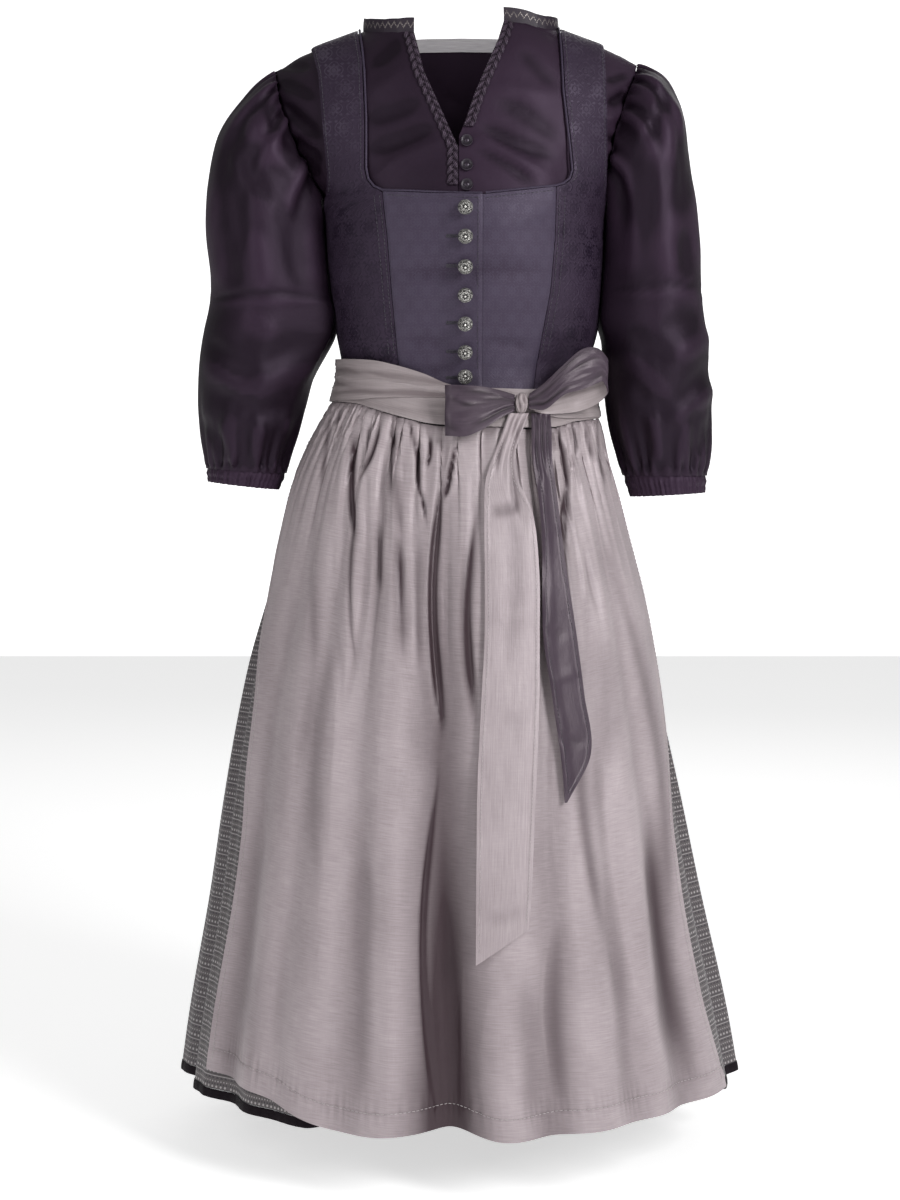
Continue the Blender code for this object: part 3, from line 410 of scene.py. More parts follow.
def crease(x, z, rows):
    """Height of listed soft ridges (+) and troughs (-). A row gives the two ends, the width at its
    middle and the height: (x0, z0, x1, z1, width, height). Each fades out towards its ends."""
    total = 0.0
    for x0, z0, x1, z1, width, height in rows:
        dx, dz = x1 - x0, z1 - z0
        size = math.hypot(dx, dz)
        along = ((x - x0) * dx + (z - z0) * dz) / size**2
        across = ((x - x0) * dz - (z - z0) * dx) / size
        bow = 0.05 * size * np.sin(math.pi * clamp(along)) * math.sin(3.1 * x0 + z0)
        fade = ease((along + 0.12) / 0.4) * ease((1.12 - along) / 0.4)
        total = total + height * bump((across - bow) / (width * (0.6 + 0.4 * fade))) * fade
    return total


def scattered(count, seed, x_range, z_range, length, slope, width, height):
    """Creases like the listed ones, uneven in place, length, slope and depth."""
    luck = np.random.RandomState(seed)
    rows = []
    for _ in range(count):
        x, z = luck.uniform(*x_range), luck.uniform(*z_range)
        angle, size = math.radians(luck.uniform(*slope)), luck.uniform(*length)
        rows.append((
            x, z, x + size * math.cos(angle), z + size * math.sin(angle),
            luck.uniform(*width), luck.uniform(*height) * luck.choice((-1, 1)),
        ))
    return rows


def grain(points, size, seed=0.0):
    """Smooth unevenness between -1 and 1 that no two places share."""
    x, y, z = (points[..., i] / size for i in range(3))
    total = 0.0
    for k in range(1, 5):
        a = 1.7 * k + seed
        total = total + np.sin(x * (0.7 + 0.31 * k) + 2.1 * a) * np.cos(z * (0.9 + 0.23 * k) + y * 0.6 + a) / k
    return total / 1.7


def give_shade(mesh, values):
    """Stores a number for each point: how deep in painted shade it lies, on the plait how far out of it, and on
    the buttons how bright the metal is, with painted shade at each ball's rim.
    """
    values = np.asarray(values, float).ravel()
    mesh.attributes.new("shade", "FLOAT", "POINT").data.foreach_set("value", values)


def save_mesh(name, points, faces, finishes, uvs=None, shade=None, kinds=None, weld=0.0):
    """A smooth mesh from points in millimetres. uvs, in metres, and shade go by point."""
    mesh = bpy.data.meshes.new(name)
    mesh.from_pydata((np.asarray(points) * MM).tolist(), [], faces)
    if uvs is not None:
        loops = np.empty(len(mesh.loops), int)
        mesh.loops.foreach_get("vertex_index", loops)
        mesh.uv_layers.new(name="cloth").data.foreach_set("uv", np.asarray(uvs, float)[loops].ravel())
    if shade is not None:
        give_shade(mesh, shade)
    for finish in finishes:
        mesh.materials.append(finish)
    if kinds is not None:
        mesh.polygons.foreach_set("material_index", np.asarray(kinds, int))
    if weld:
        shape = bmesh.new()
        shape.from_mesh(mesh)
        bmesh.ops.remove_doubles(shape, verts=shape.verts, dist=weld * MM)
        shape.to_mesh(mesh)
        shape.free()
    mesh.shade_smooth()
    mesh.set_sharp_from_angle(angle=math.radians(55))
    made = bpy.data.objects.new(name, mesh)
    bpy.context.scene.collection.objects.link(made)
    return made


def normals_of(points, closed):
    """Unit normals of a grid whose rows run down and whose columns run on by turn."""
    if closed:
        across = np.roll(points[:, :-1], -1, axis=1) - np.roll(points[:, :-1], 1, axis=1)
        across = np.concatenate([across, across[:, :1]], axis=1)
    else:
        across = np.gradient(points, axis=1)
    return unit(np.cross(across, -np.gradient(points, axis=0)))


def shell(name, points, thick, finish, uv=None, shade=None, closed=False, lining=None, edge=None, turned=False):
    """A thin cloth shell behind a grid of outer points. A closed grid's last column is its first one."""
    rows, columns = points.shape[:2]
    normals = normals_of(points, closed) * (-1 if turned else 1)
    inner = points - normals * thick
    if uv is None:
        u = row_lengths(points)
        u = u - u[:, columns // 2][:, None]
        heights = np.linalg.norm(np.diff(points, axis=0), axis=-1).mean(axis=1)
        v = np.concatenate([[0], -np.cumsum(heights)])
        uv = np.stack([u, np.broadcast_to(v[:, None], u.shape)], axis=-1) * MM
    if shade is None:
        shade = np.zeros((rows, columns))
    number = np.arange(rows * columns).reshape(rows, columns)
    low = number[:-1, :-1], number[:-1, 1:], number[1:, 1:], number[1:, :-1]
    outer_faces = np.stack(low, axis=-1).reshape(-1, 4)
    if not turned:
        outer_faces = outer_faces[:, ::-1]
    step = rows * columns
    inner_faces = outer_faces[:, ::-1] + step
    ends = [number[0], number[-1][::-1]]
    if not closed:
        ends += [number[:, -1], number[:, 0][::-1]]
    rim = []
    for line in ends:
        rim.append(np.stack([line[:-1], line[1:], line[1:] + step, line[:-1] + step], axis=-1))
    rim = np.concatenate(rim)
    if turned:
        rim = rim[:, ::-1]
    faces = np.concatenate([outer_faces, inner_faces, rim])
    kinds = np.concatenate([
        np.zeros(len(outer_faces), int),
        np.full(len(inner_faces), 1 if lining else 0),
        np.full(len(rim), 2 if edge else 0),
    ])
    both = np.concatenate([points.reshape(-1, 3), inner.reshape(-1, 3)])
    finishes = [finish, lining or finish, edge or finish]
    return save_mesh(
        name, both, faces.tolist(), finishes, np.tile(uv.reshape(-1, 2), (2, 1)),
        np.tile(shade.ravel(), 2), kinds, weld=0.002 if closed else 0.0,
    )


def wear(piece, node):
    """Puts a piece of cloth in its node's place and hides the part that it stands for."""
    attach(piece, "root")
    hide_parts(node)


def hard(piece, node):
    """Puts a piping or a button in its node's place."""
    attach(piece, "root")
    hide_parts(node)


class Value:
    """A number in a material. Maths on it adds Math nodes."""

    def __init__(self, finish, socket):
        self.finish, self.socket = finish, socket

    def maths(self, operation, *values):
        return self.finish.node("Math", {"operation": operation}, list(enumerate(values)))

    def __add__(self, other):
        return self.maths("ADD", self, other)

    def __radd__(self, other):
        return self.maths("ADD", other, self)

    def __sub__(self, other):
        return self.maths("SUBTRACT", self, other)

    def __rsub__(self, other):
        return self.maths("SUBTRACT", other, self)

    def __mul__(self, other):
        return self.maths("MULTIPLY", self, other)

    def __rmul__(self, other):
        return self.maths("MULTIPLY", other, self)

    def __truediv__(self, other):
        return self.maths("DIVIDE", self, other)

    def __pow__(self, other):
        return self.maths("POWER", self, other)

    def __neg__(self):
        return self.maths("MULTIPLY", self, -1.0)

    def __abs__(self):
        return self.maths("ABSOLUTE", self)

    def repeat(self, pitch):
        """Where it is within a pattern's repeat, from -0.5 to 0.5."""
        return self.maths("FRACT", self / pitch + 0.5) - 0.5

    def number(self, pitch):
        """Which repeat of a pattern it is in."""
        return self.maths("FLOOR", self / pitch + 0.5)

    def sine(self):
        return self.maths("SINE", self)

    def cosine(self):
        return self.maths("COSINE", self)

    def clamp(self):
        return self.maths("MAXIMUM", self.maths("MINIMUM", self, 1.0), 0.0)

    def most(self, other):
        return self.maths("MAXIMUM", self, other)

    def above(self, edge):
        return self.maths("GREATER_THAN", self, edge)

    def below(self, edge, soft):
        """1 where it is below an edge, 0 above it, over a soft step."""
        return ((edge - self) / soft + 0.5).clamp()


class Finish:
    """A material being made. Numbers and colours that don't vary are set on the shader's own sockets."""

    def __init__(self, name, roughness, **fixed):
        self.material = bpy.data.materials.new(name)
        self.material.use_nodes = True
        self.tree = self.material.node_tree
        self.shader = self.tree.nodes["Principled BSDF"]
        self.shader.inputs["Roughness"].default_value = roughness
        for key, value in fixed.items():
            self.shader.inputs[key.replace("_", " ")].default_value = value

    def join(self, value, socket):
        value = value.socket if isinstance(value, Value) else value
        if isinstance(value, bpy.types.NodeSocket):
            self.tree.links.new(value, socket)
        else:
            socket.default_value = value

    def node(self, kind, settings, inputs, output=0):
        made = self.tree.nodes.new("ShaderNode" + kind)
        for key, value in settings.items():
            if key == "stops":
                for i, (place, colour) in enumerate(value):
                    stops = made.color_ramp.elements
                    stop = stops[i] if i < 2 else stops.new(place)
                    stop.position, stop.color = place, (*colour, 1)
            else:
                setattr(made, key, value)
        for key, value in inputs:
            self.join(value, made.inputs[key])
        return Value(self, made.outputs[output])

    def mix(self, share, low, high):
        low, high = (c if isinstance(c, Value) else (*c, 1) for c in (low, high))
        return self.node("Mix", {"data_type": "RGBA"}, [(0, share), (6, low), (7, high)], 2)

    def cloth_map(self):
        """Places on the cloth itself, across and along it in metres."""
        place = self.node("UVMap", {"uv_map": "cloth"}, [])
        split = [("Vector", place)]
        return place, self.node("SeparateXYZ", {}, split, 0), self.node("SeparateXYZ", {}, split, 1)

    def object_map(self):
        return self.node("TexCoord", {}, [], 3)

    def shade(self):
        return self.node("Attribute", {"attribute_name": "shade"}, [], 2)

    def noise(self, place, scale, detail=2.0, roughness=0.5):
        return self.node(
            "TexNoise", {}, [("Vector", place), ("Scale", scale), ("Detail", detail), ("Roughness", roughness)]
        )

    def stretched(self, place, scale):
        return self.node("Mapping", {}, [("Vector", place), ("Scale", scale)])

    def relief(self, height, distance, strength=1.0, under=None):
        inputs = [("Strength", strength), ("Distance", distance), ("Height", height)]
        if under is not None:
            inputs.append(("Normal", under))
        return self.node("Bump", {}, inputs)

    def done(self, colour, roughness=None, normal=None, metallic=None):
        self.join(colour, self.shader.inputs["Base Color"])
        if roughness is not None:
            self.join(roughness, self.shader.inputs["Roughness"])
        if metallic is not None:
            self.join(metallic, self.shader.inputs["Metallic"])
        if normal is not None:
            self.join(normal, self.shader.inputs["Normal"])
        return self.material


def weave(u, v, warp, weft):
    """The fine relief of crossing threads, at their pitch in metres."""
    return (u * (math.tau / warp)).sine() * (v * (math.tau / weft)).sine()


def blouse_satin_finish():
    f = Finish("blouse_satin", 0.4, Specular_IOR_Level=0.3, Specular_Tint=(0.8, 0.62, 0.86, 1))
    place, u, v = f.cloth_map()
    cloud = f.noise(place, 14.0, 4.0, 0.6)
    thread = f.noise(f.stretched(place, (700.0, 2600.0, 1.0)), 1.0)
    colour = f.mix(cloud * 0.8, (0.014, 0.007, 0.014), (0.034, 0.020, 0.036))
    colour = f.mix(f.shade().clamp(), colour, (0.0045, 0.002, 0.0045))
    crumple = f.noise(f.stretched(place, (34.0, 22.0, 1.0)), 1.0, 5.0, 0.55)
    soft = f.relief(crumple, 0.0016, 0.55)
    return f.done(
        f.mix(thread * (0.3 - f.shade().clamp() * 0.24), colour, (0.034, 0.019, 0.036)), 0.42 + thread * 0.14,
        f.relief(thread + weave(u, v, 0.0007, 0.0005) * 0.2, 0.00012, 0.5, soft),
    )


def braid_finish():
    f = Finish("plaited_braid", 0.5, Specular_IOR_Level=0.3, Specular_Tint=(0.85, 0.7, 0.9, 1))
    place, u, _ = f.cloth_map()
    strand = (u * (math.tau / 0.0021)).sine() * 0.5 + 0.5
    glint = f.noise(place, 620.0, 2.0)
    colour = f.mix(strand * 0.6 + glint * 0.4, (0.018, 0.011, 0.019), (0.085, 0.062, 0.086))
    # painted shade: near black where the shade attribute is low, in the gaps between the strands and where they
    # roll away at the braid's edges
    colour = f.mix(f.shade().clamp(), (0.004, 0.002, 0.004), colour)
    bright = glint.above(0.7) * f.shade().clamp() * 0.2
    return f.done(
        f.mix(bright, colour, (0.42, 0.37, 0.36)), 0.52 - strand * 0.2,
        f.relief(strand + f.shade() * 0.5, 0.0005, 0.8), bright,
    )


def collar_finish():
    """Brocade trim with metal thread: a zigzag between two dotted lines."""
    f = Finish("collar_brocade", 0.5, Specular_IOR_Level=0.3)
    place, u, v = f.cloth_map()
    tooth = abs(u.repeat(0.0072)) * 2.0
    speck = f.noise(place, 800.0, 2.0).above(0.5)
    level = (v + 0.0065) / 0.0065
    zigzag = abs(level - (tooth * 0.9 - 0.45)).below(0.17, 0.14) * (0.12 + 0.88 * speck)
    across = u.repeat(0.0030) / 0.0011
    rows = abs(abs(level) - 0.82) * 6.0
    dots = (across * across + rows * rows).below(1.0, 0.4)
    metal = zigzag.most(dots)
    glint = f.noise(place, 900.0, 1.0)
    silver = f.mix(glint, (0.07, 0.055, 0.06), (0.38, 0.34, 0.32))
    return f.done(
        f.mix(metal, (0.02, 0.013, 0.022), silver), 0.5 - metal * 0.2,
        f.relief(metal + glint * 0.3, 0.0004, 0.7), metal * 0.3,
    )


def collar_lining_finish():
    f = Finish("collar_lining", 0.5, Sheen_Weight=0.25)
    place = f.cloth_map()[0]
    streak = f.noise(f.stretched(place, (60.0, 900.0, 1.0)), 1.0, 3.0)
    return f.done(
        f.mix(streak, (0.24, 0.225, 0.24), (0.47, 0.45, 0.465)), 0.4 + streak * 0.2,
        f.relief(streak, 0.0002, 0.5),
    )


def rosette(u, v, pitch):
    """A woven flower of eight petals round a ringed heart, with sprigs between the flowers."""
    row = v.number(pitch * 0.8)
    shift = (row * 0.5).maths("FRACT", row * 0.5) * pitch
    across = (u + shift).repeat(pitch)
    along = v.repeat(pitch * 0.8) * 0.8
    far = (across * across + along * along) ** 0.5
    turn = along.maths("ARCTAN2", along, across)
    petals = (turn * 8.0).cosine() * 0.5 + 0.5
    flower = (far - petals * 0.10).below(0.2, 0.03) * (1 - abs(far - 0.115).below(0.014, 0.012))
    curl = abs(far - 0.36 - (turn * 4.0).cosine() * 0.045).below(0.022, 0.02)
    leaf = (abs(abs(across) - 0.36) * 2.0 + abs(abs(along) - 0.27) * 3.0).below(0.2, 0.05)
    return flower.most(curl).most(leaf)


def jacquard_finish():
    f = Finish("bodice_jacquard", 0.45, Specular_IOR_Level=0.3, Specular_Tint=(0.85, 0.72, 0.95, 1))
    place, u, v = f.cloth_map()
    motif = rosette(u, v, 0.026)
    rib = (v * (math.tau / 0.0009)).sine() * 0.5 + 0.5
    cloud = f.noise(place, 25.0, 3.0)
    worn = ((f.noise(place, 17.0, 2.0) - 0.4) * 5.0).clamp()
    ground = f.mix(cloud, (0.018, 0.011, 0.021), (0.030, 0.020, 0.036))
    # The raised motif is darker below the level -140 mm.
    low = v.below(-0.14, 0.06)
    raised = f.mix(rib * 0.4 + cloud * 0.6, (0.034, 0.025, 0.042), (0.075, 0.06, 0.085))
    raised = f.mix(low, raised, (0.006, 0.003, 0.009))
    return f.done(
        f.mix(motif * worn * (cloud * 0.9 + 0.3), ground, raised), 0.56 - motif * 0.15,
        f.relief(motif + rib * 0.25, 0.0004, 0.6, f.relief(cloud, 0.0012, 0.5)),
    )


def centre_satin_finish():
    """The plainer front panels: a fine slanting rib with small sprigs that hardly show."""
    f = Finish("bodice_satin", 0.4, Specular_IOR_Level=0.34, Specular_Tint=(0.86, 0.76, 0.95, 1))
    place, u, v = f.cloth_map()
    rib = ((u + v) * (math.tau / 0.0013)).sine() * 0.5 + 0.5
    cloud = f.noise(place, 22.0, 4.0)
    sprig = rosette(u, v, 0.017)
    ground = f.mix(cloud * 0.8, (0.032, 0.0225, 0.040), (0.053, 0.042, 0.068))
    ground = f.mix(f.shade().clamp(), ground, (0.018, 0.010, 0.022))
    return f.done(
        f.mix(sprig * 0.2, ground, (0.07, 0.062, 0.092)), 0.5 - sprig * 0.08 - rib * 0.05,
        f.relief(rib * 0.5 + sprig * 0.4, 0.0003, 0.5, f.relief(cloud, 0.0016, 0.5)),
    )


def taffeta_finish(name, dark, light, deep, sheen):
    """Changeant taffeta: crosswise slubs, and painted shade, the colour running to the near-black deep colour
    where the shade attribute is high, in folds, troughs and slits.
    """
    f = Finish(name, 0.4, Specular_IOR_Level=0.42, Specular_Tint=(1.0, 0.9, 0.94, 1), Sheen_Weight=sheen)
    place = f.cloth_map()[0]
    slub = f.noise(f.stretched(place, (26.0, 900.0, 1.0)), 1.0, 3.0, 0.6)
    thread = f.noise(f.stretched(place, (900.0, 60.0, 1.0)), 1.0, 2.0)
    cloud = f.noise(place, 9.0, 4.0, 0.55)
    colour = f.mix((slub - 0.5) * 0.9 + cloud * 0.8 + (thread - 0.5) * 0.2, dark, light)
    crush = f.noise(f.stretched(place, (38.0, 46.0, 1.0)), 1.0, 5.0, 0.6)
    under = f.relief(crush, 0.0016, 0.45)
    return f.done(
        # painted shade: the shade attribute mixes in the deep colour
        f.mix(f.shade().clamp() * 0.97, colour, deep), 0.32 + slub * 0.16,
        f.relief(slub + thread * 0.4, 0.00016, 0.6, under),
    )


def brocade_finish():
    """Rows of light and dark dots, small triangles and thin lines, over a repeat of 15 mm."""
    f = Finish("skirt_brocade", 0.5, Sheen_Weight=0.05)
    place, u, v = f.cloth_map()
    level = v.repeat(0.015) * 15.0
    fine = f.noise(place, 500.0, 2.0)

    def dots(pitch, at, size):
        a, b = u.repeat(pitch) * (pitch * 1000.0), level - at
        return ((a * a + b * b) ** 0.5).below(size, 0.5)

    def triangles(pitch, at, height):
        a = abs(u.repeat(pitch)) * 2.0
        b = (level - at) / height
        return (a + b).below(0.95, 0.15) * (0 - b).below(0.0, 0.15)

    def line(at, size):
        return abs(level - at).below(size, 0.3)

    light = dots(0.0052, 0.0, 1.15).most(dots(0.0035, 5.4, 0.65)).most(line(-4.2, 0.3))
    dark = dots(0.0035, 2.7, 0.95).most(triangles(0.0052, -6.9, 2.1)).most(line(-2.2, 0.35))
    ground = f.mix(fine, (0.068, 0.058, 0.060), (0.118, 0.103, 0.107))
    colour = f.mix(dark * 0.85, ground, (0.018, 0.014, 0.022))
    colour = f.mix(light * 0.9, colour, f.mix(fine, (0.30, 0.275, 0.28), (0.56, 0.53, 0.535)))
    return f.done(
        f.mix(f.shade().clamp() * 0.6, colour, (0.03, 0.024, 0.036)), 0.55 - light * 0.15,
        f.relief(light - dark * 0.6 + fine * 0.3, 0.0004, 0.6),
    )


def velvet_finish():
    f = Finish("hem_velvet", 0.8, Specular_IOR_Level=0.12, Sheen_Weight=0.08, Sheen_Roughness=0.4)
    place = f.cloth_map()[0]
    pile = f.noise(place, 1500.0, 2.0)
    brush = f.noise(place, 60.0, 3.0)
    return f.done(
        f.mix(pile * 0.5 + brush * 0.5, (0.003, 0.0015, 0.003), (0.011, 0.006, 0.010)), 0.7 + pile * 0.25,
        f.relief(pile, 0.0005, 0.8),
    )


def thread_finish(name, colour):
    f = Finish(name, 0.5, Sheen_Weight=0.3)
    ply = f.noise(f.object_map(), 1400.0, 2.0)
    dark = tuple(c * 0.45 for c in colour)
    return f.done(f.mix(ply, dark, colour), 0.4 + ply * 0.3, f.relief(ply, 0.0003, 0.8))


def silver_finish():
    """Oxidised silver: bright where it is rubbed, black in the hollows, and darker towards a ball's rim as
    painted shade.
    """
    f = Finish("silver_filigree", 0.3)
    place = f.object_map()
    tarnish = f.noise(place, 260.0, 4.0, 0.65)
    scratch = f.noise(f.stretched(place, (2600.0, 300.0, 900.0)), 1.0)
    bright_share = (f.shade() * (tarnish * 2.6 - 0.55)).clamp()
    bright = f.mix(tarnish, (0.66, 0.64, 0.6), (0.95, 0.94, 0.9))
    return f.done(
        f.mix(bright_share, (0.014, 0.012, 0.013), bright), 0.42 - bright_share * 0.2 + scratch * 0.1,
        f.relief(tarnish * 0.6 + scratch * 0.4, 0.00015, 0.5), 0.35 + bright_share * 0.3,
    )


def dark_metal_finish():
    f = Finish("dark_metal", 0.35)
    place = f.object_map()
    worn = f.noise(place, 420.0, 4.0, 0.6)
    # How bright the metal is: rubbed where the button stands higher, and unevenly worn.
    bright_share = (f.shade() + (worn - 0.5) * 0.5).clamp()
    return f.done(
        f.mix(bright_share, (0.006, 0.004, 0.007), (0.038, 0.028, 0.042)), 0.46 - bright_share * 0.16,
        f.relief(worn, 0.0002, 0.5), 0.2 + bright_share * 0.3,
    )


SATIN = blouse_satin_finish()
BRAID = braid_finish()
COLLAR = collar_finish()
COLLAR_LINING = collar_lining_finish()
JACQUARD = jacquard_finish()
CENTRE = centre_satin_finish()
# The last colour of each taffeta is its painted shade.
TAFFETA = taffeta_finish(
    "apron_taffeta", (0.26, 0.218, 0.23), (0.52, 0.452, 0.472), (0.026, 0.012, 0.017), 0.05
)
SASH = taffeta_finish("sash_taffeta", (0.21, 0.178, 0.182), (0.39, 0.34, 0.345), (0.045, 0.026, 0.03), 0.06)
RIBBON = taffeta_finish(
    "dark_ribbon", (0.034, 0.022, 0.034), (0.066, 0.047, 0.066), (0.010, 0.006, 0.010), 0.05
)
BROCADE = brocade_finish()
VELVET = velvet_finish()
SEWING = thread_finish("bodice_sewing", (0.034, 0.027, 0.044))
HEM_SEWING = thread_finish("hem_sewing", (0.62, 0.56, 0.57))
SILVER = silver_finish()
DARK_METAL = dark_metal_finish()


def raised(points, height, closed=False):
    """A grid of cloth with creases added square to it, in millimetres."""
    return points + normals_of(points, closed) * np.asarray(height)[..., None]


def armhole_turn(side, level):
    sign = SIGN[side]
    return np.where(level > ARMPIT, turn_at(sign * (ARMHOLE.at(side, level) + TUCK), level), sign * 90.0)


def tucked(right, x, level):
    """The blouse's edge runs on under the sleeve's head, out of sight."""
    seam = np.where(right, ARMHOLE.at("right", level), ARMHOLE.at("left", level))
    return -1.9 * ease((abs(x) - seam + 1.4) / 1.8) * (level > ARMPIT)


def under_bodice(turn, level):
    round_side = ease((abs(turn) - 28) / 12)
    return -2.6 * np.maximum(round_side * ease((-95 - level) / 45), ease((-180 - level) / 20))


# Blouse: creases as x0, z0, x1, z1, width, height
BLOUSE_FOLDS_RIGHT = [
    (8, -112, 92, -156, 5, 1.7), (18, -104, 96, -134, 6, -2.2), (14, -127, 74, -166, 4.5, -2),
    (34, -76, 100, -118, 7, -1.6), (30, -62, 92, -74, 6, 1.1), (60, -20, 98, -62, 6, -1.4),
    (152, -75, 176, -58, 3.5, -2.2), (150, -92, 170, -80, 3, 1.5), (148, -112, 166, -103, 3, -1.8),
    (150, -50, 178, -38, 3, -1.5), (152, -128, 163, -124, 3, -1.4),
]
BLOUSE_FOLDS_LEFT = [
    (-16, -118, -90, -160, 5, 1.4), (-26, -104, -94, -128, 6, -1.8), (-40, -78, -96, -96, 6, -1.4),
    (-52, -40, -94, -70, 6, 1.2), (-62, -10, -92, -40, 5, -1.2), (-187, -71, -147, -110, 4.5, -3),
    (-184, -88, -148, -124, 3.5, 1.8), (-178, -104, -146, -136, 4, -2.4), (-190, -46, -152, -70, 4, -2),
    (-192, -24, -158, -34, 4, -1.6), (-168, -126, -146, -148, 3, -1.8),
]


def make_blouse_front(side, edge, folds):
    levels = np.concatenate([spread(RIDGE, -28, 24), spread(-31, BLOUSE_END, 52)])[:, None]
    inner, outer = turn_at(edge.at("x", levels), levels), armhole_turn(side, levels)
    turn = mix(inner, outer, spread(0, 1, 46)[None, :])
    if side == "left":
        turn = turn[:, ::-1]
    level = levels + 0 * turn
    points = outside(body, turn, level, under_bodice(turn, level))
    x, z = points[..., 0], points[..., 2]
    sign = SIGN[side]
    clear = ease((abs(x - edge.at("x", level)) - 11) / 10) * ease((20 - z) / 30)
    near = ease((abs(turn) - abs(armhole_turn(side, level)) + 7) / 6)
    gathers = 0.9 * np.sin(z / 3.4 + 0.7 * np.sin(z / 9)) * near
    tops = np.where(level > ARMPIT, gathers, 0)
    height = (crease(x, z, folds) * 1.2 + tops + 0.5 * grain(points, 30, 1 if sign < 0 else 5)) * clear
    points = raised(points, height + tucked(sign > 0, x, level))
    shade = clamp(-height / 1.7) * 0.95 + (0.6 if side == "left" else 0.04)
    piece = shell(f"cloth_blouse_front_{side}", points, FINE_SHELL, SATIN, shade=shade)
    wear(piece, f"blouse_front_{side}")


def make_blouse_back():
    share = np.concatenate([spread(-1, -0.53, 18), spread(-0.5, 0.52, 34), spread(0.55, 1, 18)])[None, :]
    down = np.concatenate([spread(0, 0.06, 8), spread(0.075, 1, 52)])[:, None]
    right = share > 0
    reach = np.where(right, ARMHOLE.at("right", RIDGE), ARMHOLE.at("left", RIDGE))
    level = mix(BACK_NECK.at("level", abs(share) * reach), BLOUSE_END, down)
    edge = 180 - np.where(right, abs(armhole_turn("right", level)), abs(armhole_turn("left", level)))
    seam_x = np.where(right, ARMHOLE.at("right", level), ARMHOLE.at("left", level)) + TUCK
    edge_x = np.where(level > ARMPIT, seam_x, half_width(right, level))
    turn = 180 - abs(turn_at(abs(share) * edge_x * np.where(right, 1, -1), level))
    turn = np.maximum(turn, edge)
    turn = np.where(right, turn, 360 - turn)[:, ::-1]
    level = level[:, ::-1]
    points = outside(body, turn, level, under_bodice(signed(turn), level))
    x, z = points[..., 0], points[..., 2]
    folds = scattered(16, 4, (-150, 130), (-60, 5), (30, 80), (-60, 60), (4, 7), (0.6, 1.8))
    covered = ease((z + 70) / 30)
    edge_gathers = 0.9 * np.sin(z / 3.6) * ease((abs(x) - 135) / 14)
    height = (crease(x, z, folds) + edge_gathers) * covered * ease((14 - z) / 24) + tucked(x > 0, x, level)
    piece = shell("cloth_blouse_back", raised(points, height), FINE_SHELL, SATIN)
    wear(piece, "blouse_back")


def make_stand(name, neck):
    """A stand of the collar, from points on the neck's edge."""
    lengths = lengths_along(neck)
    along = spread(0, lengths[-1], 44)
    line = places_at(along, lengths, neck)
    away = unit(line * (1 / 103**2, 1 / 62**2, 0))
    top = COLLAR_HEIGHT * (0.8 + 0.2 * np.sqrt(clamp(along / 8)) + 0.06 * ease((along - lengths[-1] + 25) / 25))
    height = mix(COLLAR_HEIGHT if name == "collar_back" else top, -1.2, spread(0, 1, 10)[:, None])
    points = line[None] + point_of(0 * height, 0 * height, height) - away[None] * (0.06 * height[..., None])
    swell = 0.35 + 0.35 * np.sin(np.pi * clamp(height / COLLAR_HEIGHT)) + 0.15 * np.sin(along / 9)[None]
    points = points + away[None] * swell[..., None]
    front = away[:, 1].mean() < 0
    uv = np.stack(np.broadcast_arrays(along[None] * MM, (height - COLLAR_HEIGHT) * MM), axis=-1)
    turned = (np.cross(np.diff(line, axis=0)[20], (0, 0, 1)) @ away[20]) < 0
    thick = BAND_CLOTH - 0.1
    piece = shell(f"cloth_{name}", points, thick, COLLAR, uv=uv, lining=COLLAR_LINING, turned=turned)
    wear(piece, name)


def make_collar():
    shoulder = RIDGE - 0.001
    for side, edge, corners in (
        ("left", BLOUSE_EDGE_LEFT, (shoulder, 27.3, 18.7, 10.6, 3.2, 0.5)),
        ("right", BLOUSE_EDGE_RIGHT, (shoulder, 28, 21, 17, 15, 13.5)),
    ):
        level = np.interp(spread(0, 5, 41), range(6), corners)
        make_stand(f"collar_{side}", body(turn_at(edge.at("x", level), level), level))
    x = spread(-103.2, 102.8, 61)
    level = BACK_NECK.at("level", abs(x))
    make_stand("collar_back", body(180 - turn_at(x, level), np.minimum(level, shoulder)))


def make_braid(side, edge, top, bottom):
    """A flat plait of three strands that cross down the middle in a row of arrow heads."""
    sign = SIGN[side]
    level = spread(top - 2, bottom + 4, int((top - bottom) * 1.3))[:, None]
    share = spread(0.04, 1, 17)[None, :]
    arrow = abs(share - 0.5) * 2
    shift = 3.4 * arrow**1.2
    phase = (level + shift) / CHEVRON
    side_strand = np.where(share < 0.5, phase, phase + 0.5)
    strand = abs(np.sin(np.pi * side_strand)) ** 0.7
    roll = np.sqrt(np.maximum(1 - (2 * arrow - 1) ** 2 * 0.8, 0.05))
    out = 0.6 + 2.6 * strand * roll
    scallop = 0.5 * np.sin(math.tau * side_strand)
    x = edge.at("x", level) + sign * (BRAID_WIDTH * 1.05 * share + scallop * (share > 0.9))
    turn = turn_at(x, level)
    points = outside(body, turn, level, out)
    uv = np.stack(np.broadcast_arrays((share * BRAID_WIDTH + level * 0.7) * MM, level * MM), axis=-1)
    # The shade attribute is high on the strands' crowns and low between them, where the finish paints shade.
    piece = shell(f"plait_{side}", points, 0.45, BRAID, uv=uv, shade=strand * roll, turned=sign < 0)
    wear(piece, f"braid_{side}")


